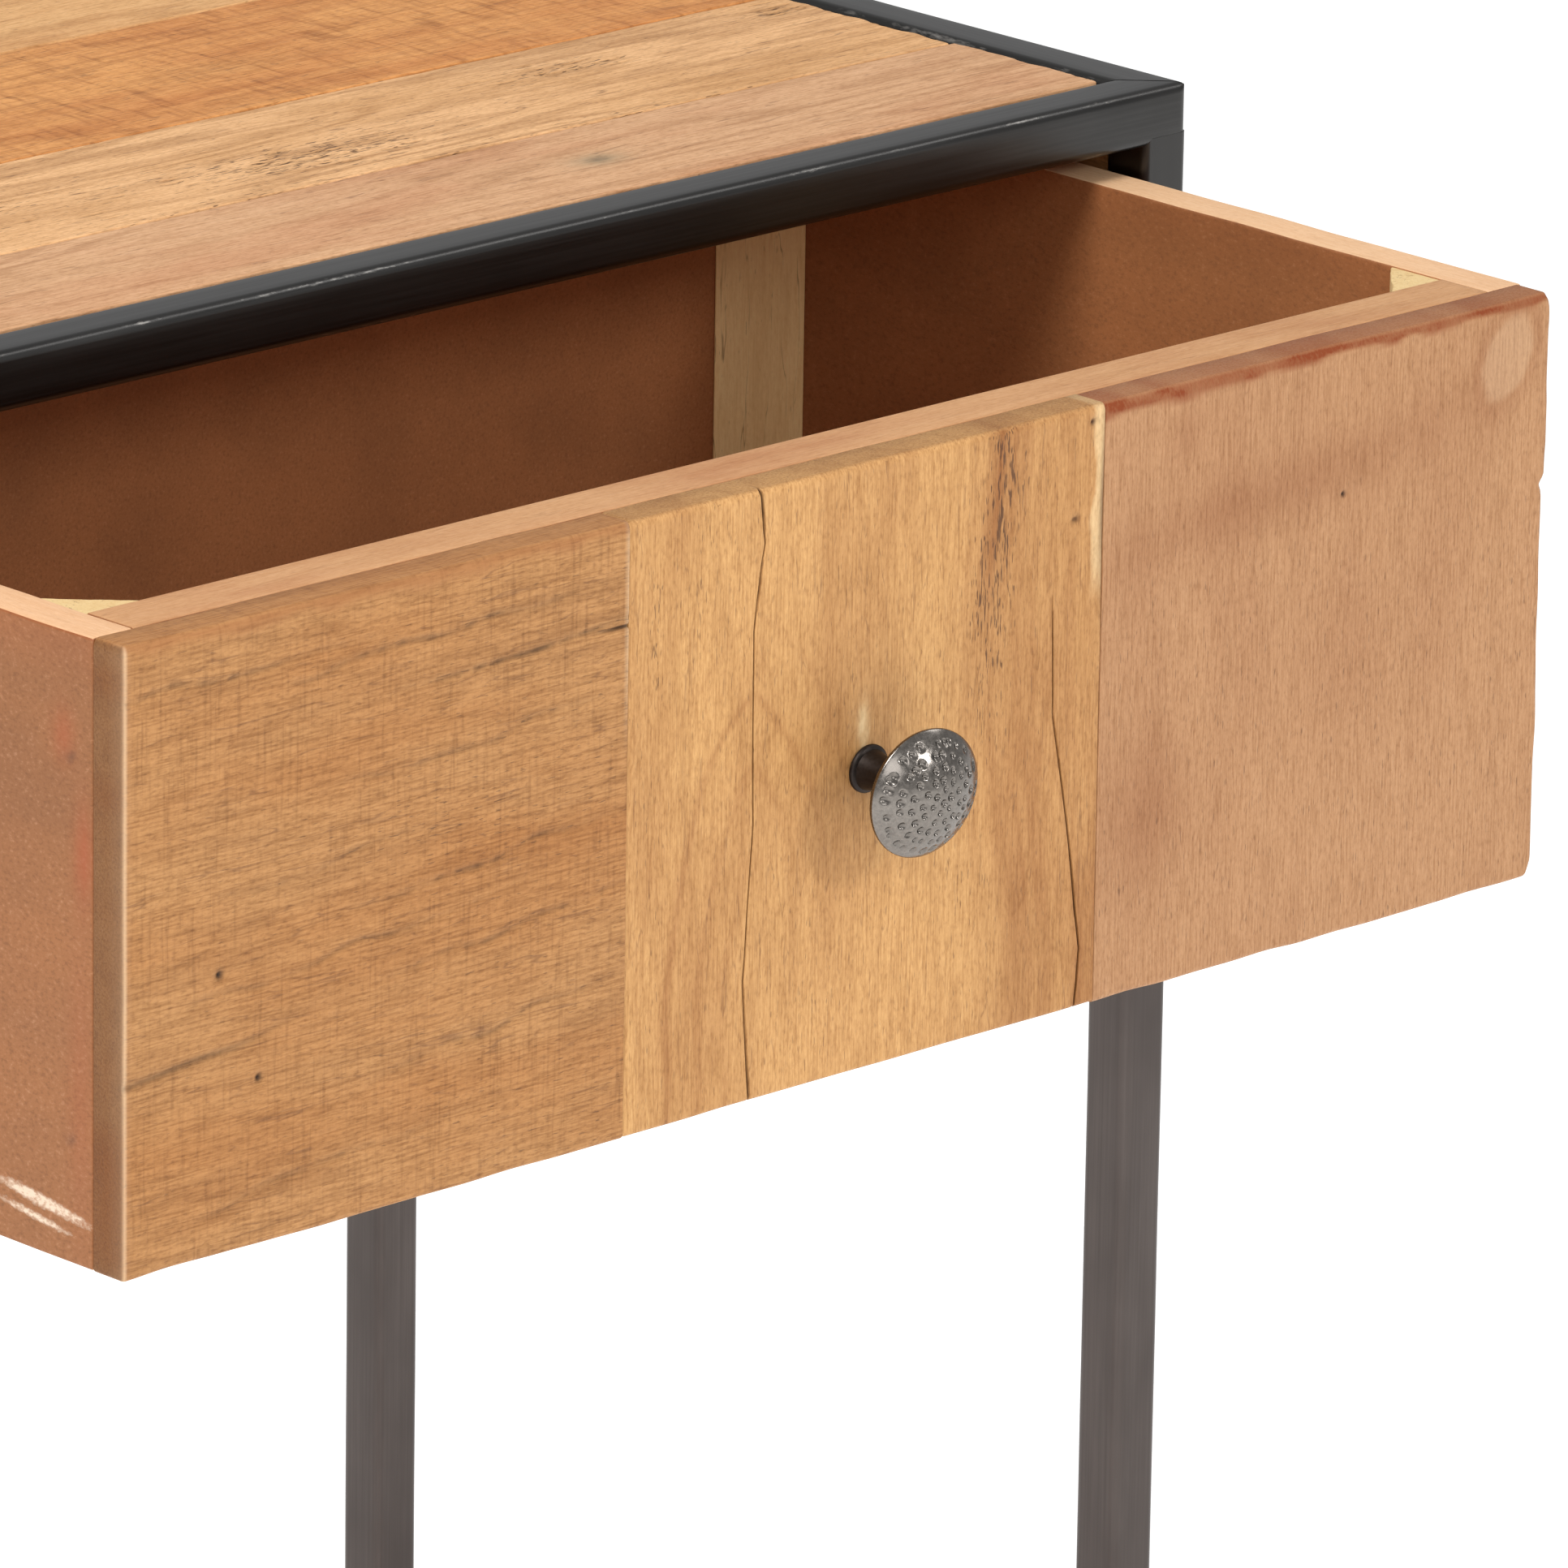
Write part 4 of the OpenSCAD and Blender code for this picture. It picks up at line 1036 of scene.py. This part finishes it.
class SIDETABLE_OT_knob(bpy.types.Operator):
    """Turn the knob: a dimpled head on a dark stem, held by a screw and washer."""

    bl_idname = "side_table.knob"
    bl_label = "Knob"

    def execute(self, context):
        sizes = context.scene.side_table_knob
        pewter = cast_metal("darkened_pewter", sizes.metal, 0.2, 0.5)
        dark = cast_metal("blackened_stem", "#3a3431", 0.45, 0.0)
        radius, full, centre = self.turned("knob_head")
        base, reach, foot = self.turned("knob_stem")
        dimples = self.dimples(radius, sizes.rings)
        size = sizes.dimple / MM / 2
        depth = sizes.depth / MM

        def bump(x, z, here):
            """Depth of the hammer marks, and a slight unevenness between them."""
            lift = np.zeros(x.shape)
            for cx, cz, scale in dimples:
                d = ((x - cx) ** 2 + (z - cz) ** 2) / (size * scale) ** 2
                lift = np.maximum(lift, depth * scale * np.clip(1 - d, 0, 1) ** 0.8)
            lift = lift + 0.05 * np.abs(drift(x / 2.3, z / 2.3, 5))
            return np.where(here > radius - 1.4, 0, lift)

        rim = 3.0
        dome = full - rim
        ball = (radius ** 2 + dome ** 2) / (2 * dome)
        outline = [(0.5, 0), (6, 0)]
        outline += [(radius - back, out) for back, out in (
            (3.4, 0.1), (2.0, 0.5), (0.9, 1.2), (0.25, 1.9), (0, 2.5), (0, 2.9), (0.12, 3.1))]
        outline += [(here, rim + dome - ball + math.sqrt(ball ** 2 - here ** 2))
                    for here in np.linspace(radius - 0.35, 0.05, 58)]
        head = lathe("knob_dome", outline, centre, 256, pewter, "knob_head", bump,
                     sharp=50)
        self.grime(head, centre, dimples, size)
        neck = base - 0.8
        outline = [(0.5, 0), (base - 0.2, 0), (base, 0.2), (base, 0.9), (base - 0.25, 1.2)]
        outline += [(neck - thin, out) for thin, out in (
            (0.1, 1.5), (0.5, 3.0), (0.9, 6.0), (0.9, 10.0), (0.4, 13.0), (0, 15.2),
            (0, reach - 0.2), (0.2, reach))] + [(0.5, reach)]
        stem = lathe("knob_neck", outline, foot, 64, dark, "knob_stem")
        self.lean(head, centre, 5.0, 0.0)
        for piece in (head, stem):
            self.lean(piece, foot, 0.0, 4.5)
        return {"FINISHED"}

    def turned(self, node):
        """Radius, length and rear centre of a round node that points to -Y."""
        low, high = corners(node)
        x, _, z = (low + high) / 2
        return (high[0] - low[0]) / 2, high[1] - low[1], np.array([x, high[1], z])

    def lean(self, piece, pivot, aside, down):
        """The knob has worked a little loose: it turns aside and hangs down by degrees."""
        pivot = Vector(pivot) * MM
        turn = Matrix.Rotation(math.radians(-aside), 4, "Z") @ Matrix.Rotation(
            math.radians(down), 4, "X")
        piece.data.transform(Matrix.Translation(pivot) @ turn @ Matrix.Translation(-pivot))

    def dimples(self, radius, rings):
        """Hammer marks in rough rings, none exactly in place."""
        rng = np.random.RandomState(7)
        found = [(0.3, -0.2, 1.0)]
        for ring in range(1, rings + 1):
            at = ring * (radius - 1.6) / (rings + 0.35)
            count = int(round(2 * math.pi * at / 2.95))
            for i in range(count):
                angle = 2 * math.pi * (i + 0.3 * ring) / count + rng.normal() * 0.05
                r = at + rng.normal() * 0.18
                found.append((r * math.cos(angle), r * math.sin(angle),
                              rng.uniform(0.78, 1.08)))
        return found

    def grime(self, head, centre, dimples, size):
        """Darker metal in the dimples and round the back of the rim."""
        points = np.array([v.co for v in head.data.vertices]) / MM - centre
        dark = np.zeros(len(points))
        for cx, cz, scale in dimples:
            d = ((points[:, 0] - cx) ** 2 + (points[:, 2] - cz) ** 2) / (size * scale) ** 2
            dark = np.maximum(dark, 0.45 * np.clip(1.15 - d, 0, 1))
        dark[-points[:, 1] < 2.7] = 0.85
        layer = head.data.attributes.new("dark", "FLOAT", "POINT")
        layer.data.foreach_set("value", dark.astype(np.float32))


class SIDETABLE_OT_fasteners(bpy.types.Operator):
    """Give the screws and the washer their plated finish."""

    bl_idname = "side_table.fasteners"
    bl_label = "Fasteners"

    def execute(self, context):
        zinc = cast_metal("zinc_plated_steel", "#a9a9a4", 0.38, 0.0)
        for node in ("top_screws", "panel_screws", "runner_screws", "face_screws",
                     "knob_screw", "knob_washer"):
            dress(node, zinc)
        return {"FINISHED"}


class SIDETABLE_OT_stage(bpy.types.Operator):
    """Set the floor, the light and the camera."""

    bl_idname = "side_table.stage"
    bl_label = "Stage"

    def execute(self, context):
        sizes = context.scene.side_table_stage
        context.scene.view_settings.view_transform = "Standard"
        self.floor()
        self.lights(context, sizes)
        self.camera(context, sizes)
        return {"FINISHED"}

    def floor(self):
        """A plain pale floor."""
        material, _, shader, _, _ = new_material("matt_white_paper")
        fill(shader, {"Base Color": rgba("#fbfbfa"), "Roughness": 0.9,
                      "Emission Color": (1, 1, 1, 1), "Emission Strength": 0.45})
        mesh = bpy.data.meshes.new("floor")
        mesh.from_pydata([(-30, -30, 0), (30, -30, 0), (30, 30, 0), (-30, 30, 0)], [],
                         [(0, 1, 2, 3)])
        mesh.materials.append(material)
        floor = bpy.data.objects.new("floor", mesh)
        bpy.context.scene.collection.objects.link(floor)

    def lights(self, context, sizes):
        """An even white room, a small key from the front, and three broad lamps: at the
        left of the front, high on the left and high on the right."""
        world = bpy.data.worlds.new("studio")
        context.scene.world = world
        world.use_nodes = True
        back = world.node_tree.nodes["Background"]
        back.inputs["Color"].default_value = (1, 1, 1, 1)
        back.inputs["Strength"].default_value = sizes.sky
        aim = Vector((0, -0.1, 0.5))
        lamps = (("key", (0.65, -2.75, 1.9), 0.45, sizes.key * 0.9),
                 ("side", (-1.5, -2.3, 1.7), 1.2, sizes.key * 0.6),
                 ("top", (-1.7, -0.55, 2.6), 1.0, sizes.key * 2.2),
                 ("edge", (2.3, -1.1, 3.0), 0.9, sizes.key * 0.5))
        for name, place, size, power in lamps:
            lamp = bpy.data.lights.new(name, "AREA")
            lamp.size = size
            lamp.energy = power
            holder = bpy.data.objects.new(name, lamp)
            holder.location = place
            holder.rotation_euler = (aim - Vector(place)).to_track_quat("-Z", "Y").to_euler()
            context.scene.collection.objects.link(holder)

    def camera(self, context, sizes):
        """A long lens that looks down on the open drawer from its left."""
        # it looks to the left of the middle of the middle board, and just above it
        low, high = corners("face_board_middle")
        x, _, z = (low + high) / 2
        aim = Vector((x - 27.0, low[1], z + 1.5)) * MM
        turn, tip, roll = sizes.azimuth, sizes.elevation, sizes.roll
        look = Vector((math.sin(turn) * math.cos(tip), math.cos(turn) * math.cos(tip),
                       -math.sin(tip)))
        flat_right = Vector((math.cos(turn), -math.sin(turn), 0))
        flat_up = flat_right.cross(look)
        right = flat_right * math.cos(roll) + flat_up * math.sin(roll)
        up = flat_up * math.cos(roll) - flat_right * math.sin(roll)
        lens = bpy.data.cameras.new("camera")
        lens.sensor_width = 36
        lens.lens = sizes.lens
        lens.clip_end = 100
        camera = bpy.data.objects.new("camera", lens)
        place = aim - look * sizes.distance
        camera.matrix_world = Matrix.Translation(place) @ Matrix(
            (right, up, -look)).transposed().to_4x4()
        context.scene.collection.objects.link(camera)
        context.scene.camera = camera


class SIDETABLE_PT_panel(bpy.types.Panel):
    """Lists the pieces of the side table."""

    bl_idname = "SIDETABLE_PT_panel"
    bl_label = "Side Table"
    bl_space_type = "VIEW_3D"
    bl_region_type = "UI"
    bl_category = "Side Table"

    def draw(self, context):
        for name in STEPS:
            self.layout.operator("side_table." + name)
        for group in ("wood", "steel", "knob", "stage"):
            values = getattr(context.scene, "side_table_" + group)
            for key in values.bl_rna.properties.keys():
                if key not in ("rna_type", "name"):
                    self.layout.prop(values, key)


STEPS = ("stage", "frame", "top", "sides", "runners", "face", "drawer_box", "blocks", "knob",
         "fasteners")
GROUPS = {"wood": SideTableWood, "steel": SideTableSteel, "knob": SideTableKnob,
          "stage": SideTableStage}
CLASSES = (*GROUPS.values(), SIDETABLE_OT_stage, SIDETABLE_OT_frame, SIDETABLE_OT_top,
           SIDETABLE_OT_sides, SIDETABLE_OT_runners, SIDETABLE_OT_face,
           SIDETABLE_OT_drawer_box, SIDETABLE_OT_blocks, SIDETABLE_OT_knob,
           SIDETABLE_OT_fasteners, SIDETABLE_PT_panel)


def register():
    for item in CLASSES:
        bpy.utils.register_class(item)
    for name, group in GROUPS.items():
        setattr(bpy.types.Scene, "side_table_" + name, PointerProperty(type=group))


def unregister():
    for name in GROUPS:
        delattr(bpy.types.Scene, "side_table_" + name)
    for item in reversed(CLASSES):
        bpy.utils.unregister_class(item)


def main():
    register()
    for name in STEPS:
        getattr(bpy.ops.side_table, name)()


if __name__ == "__main__":
    main()
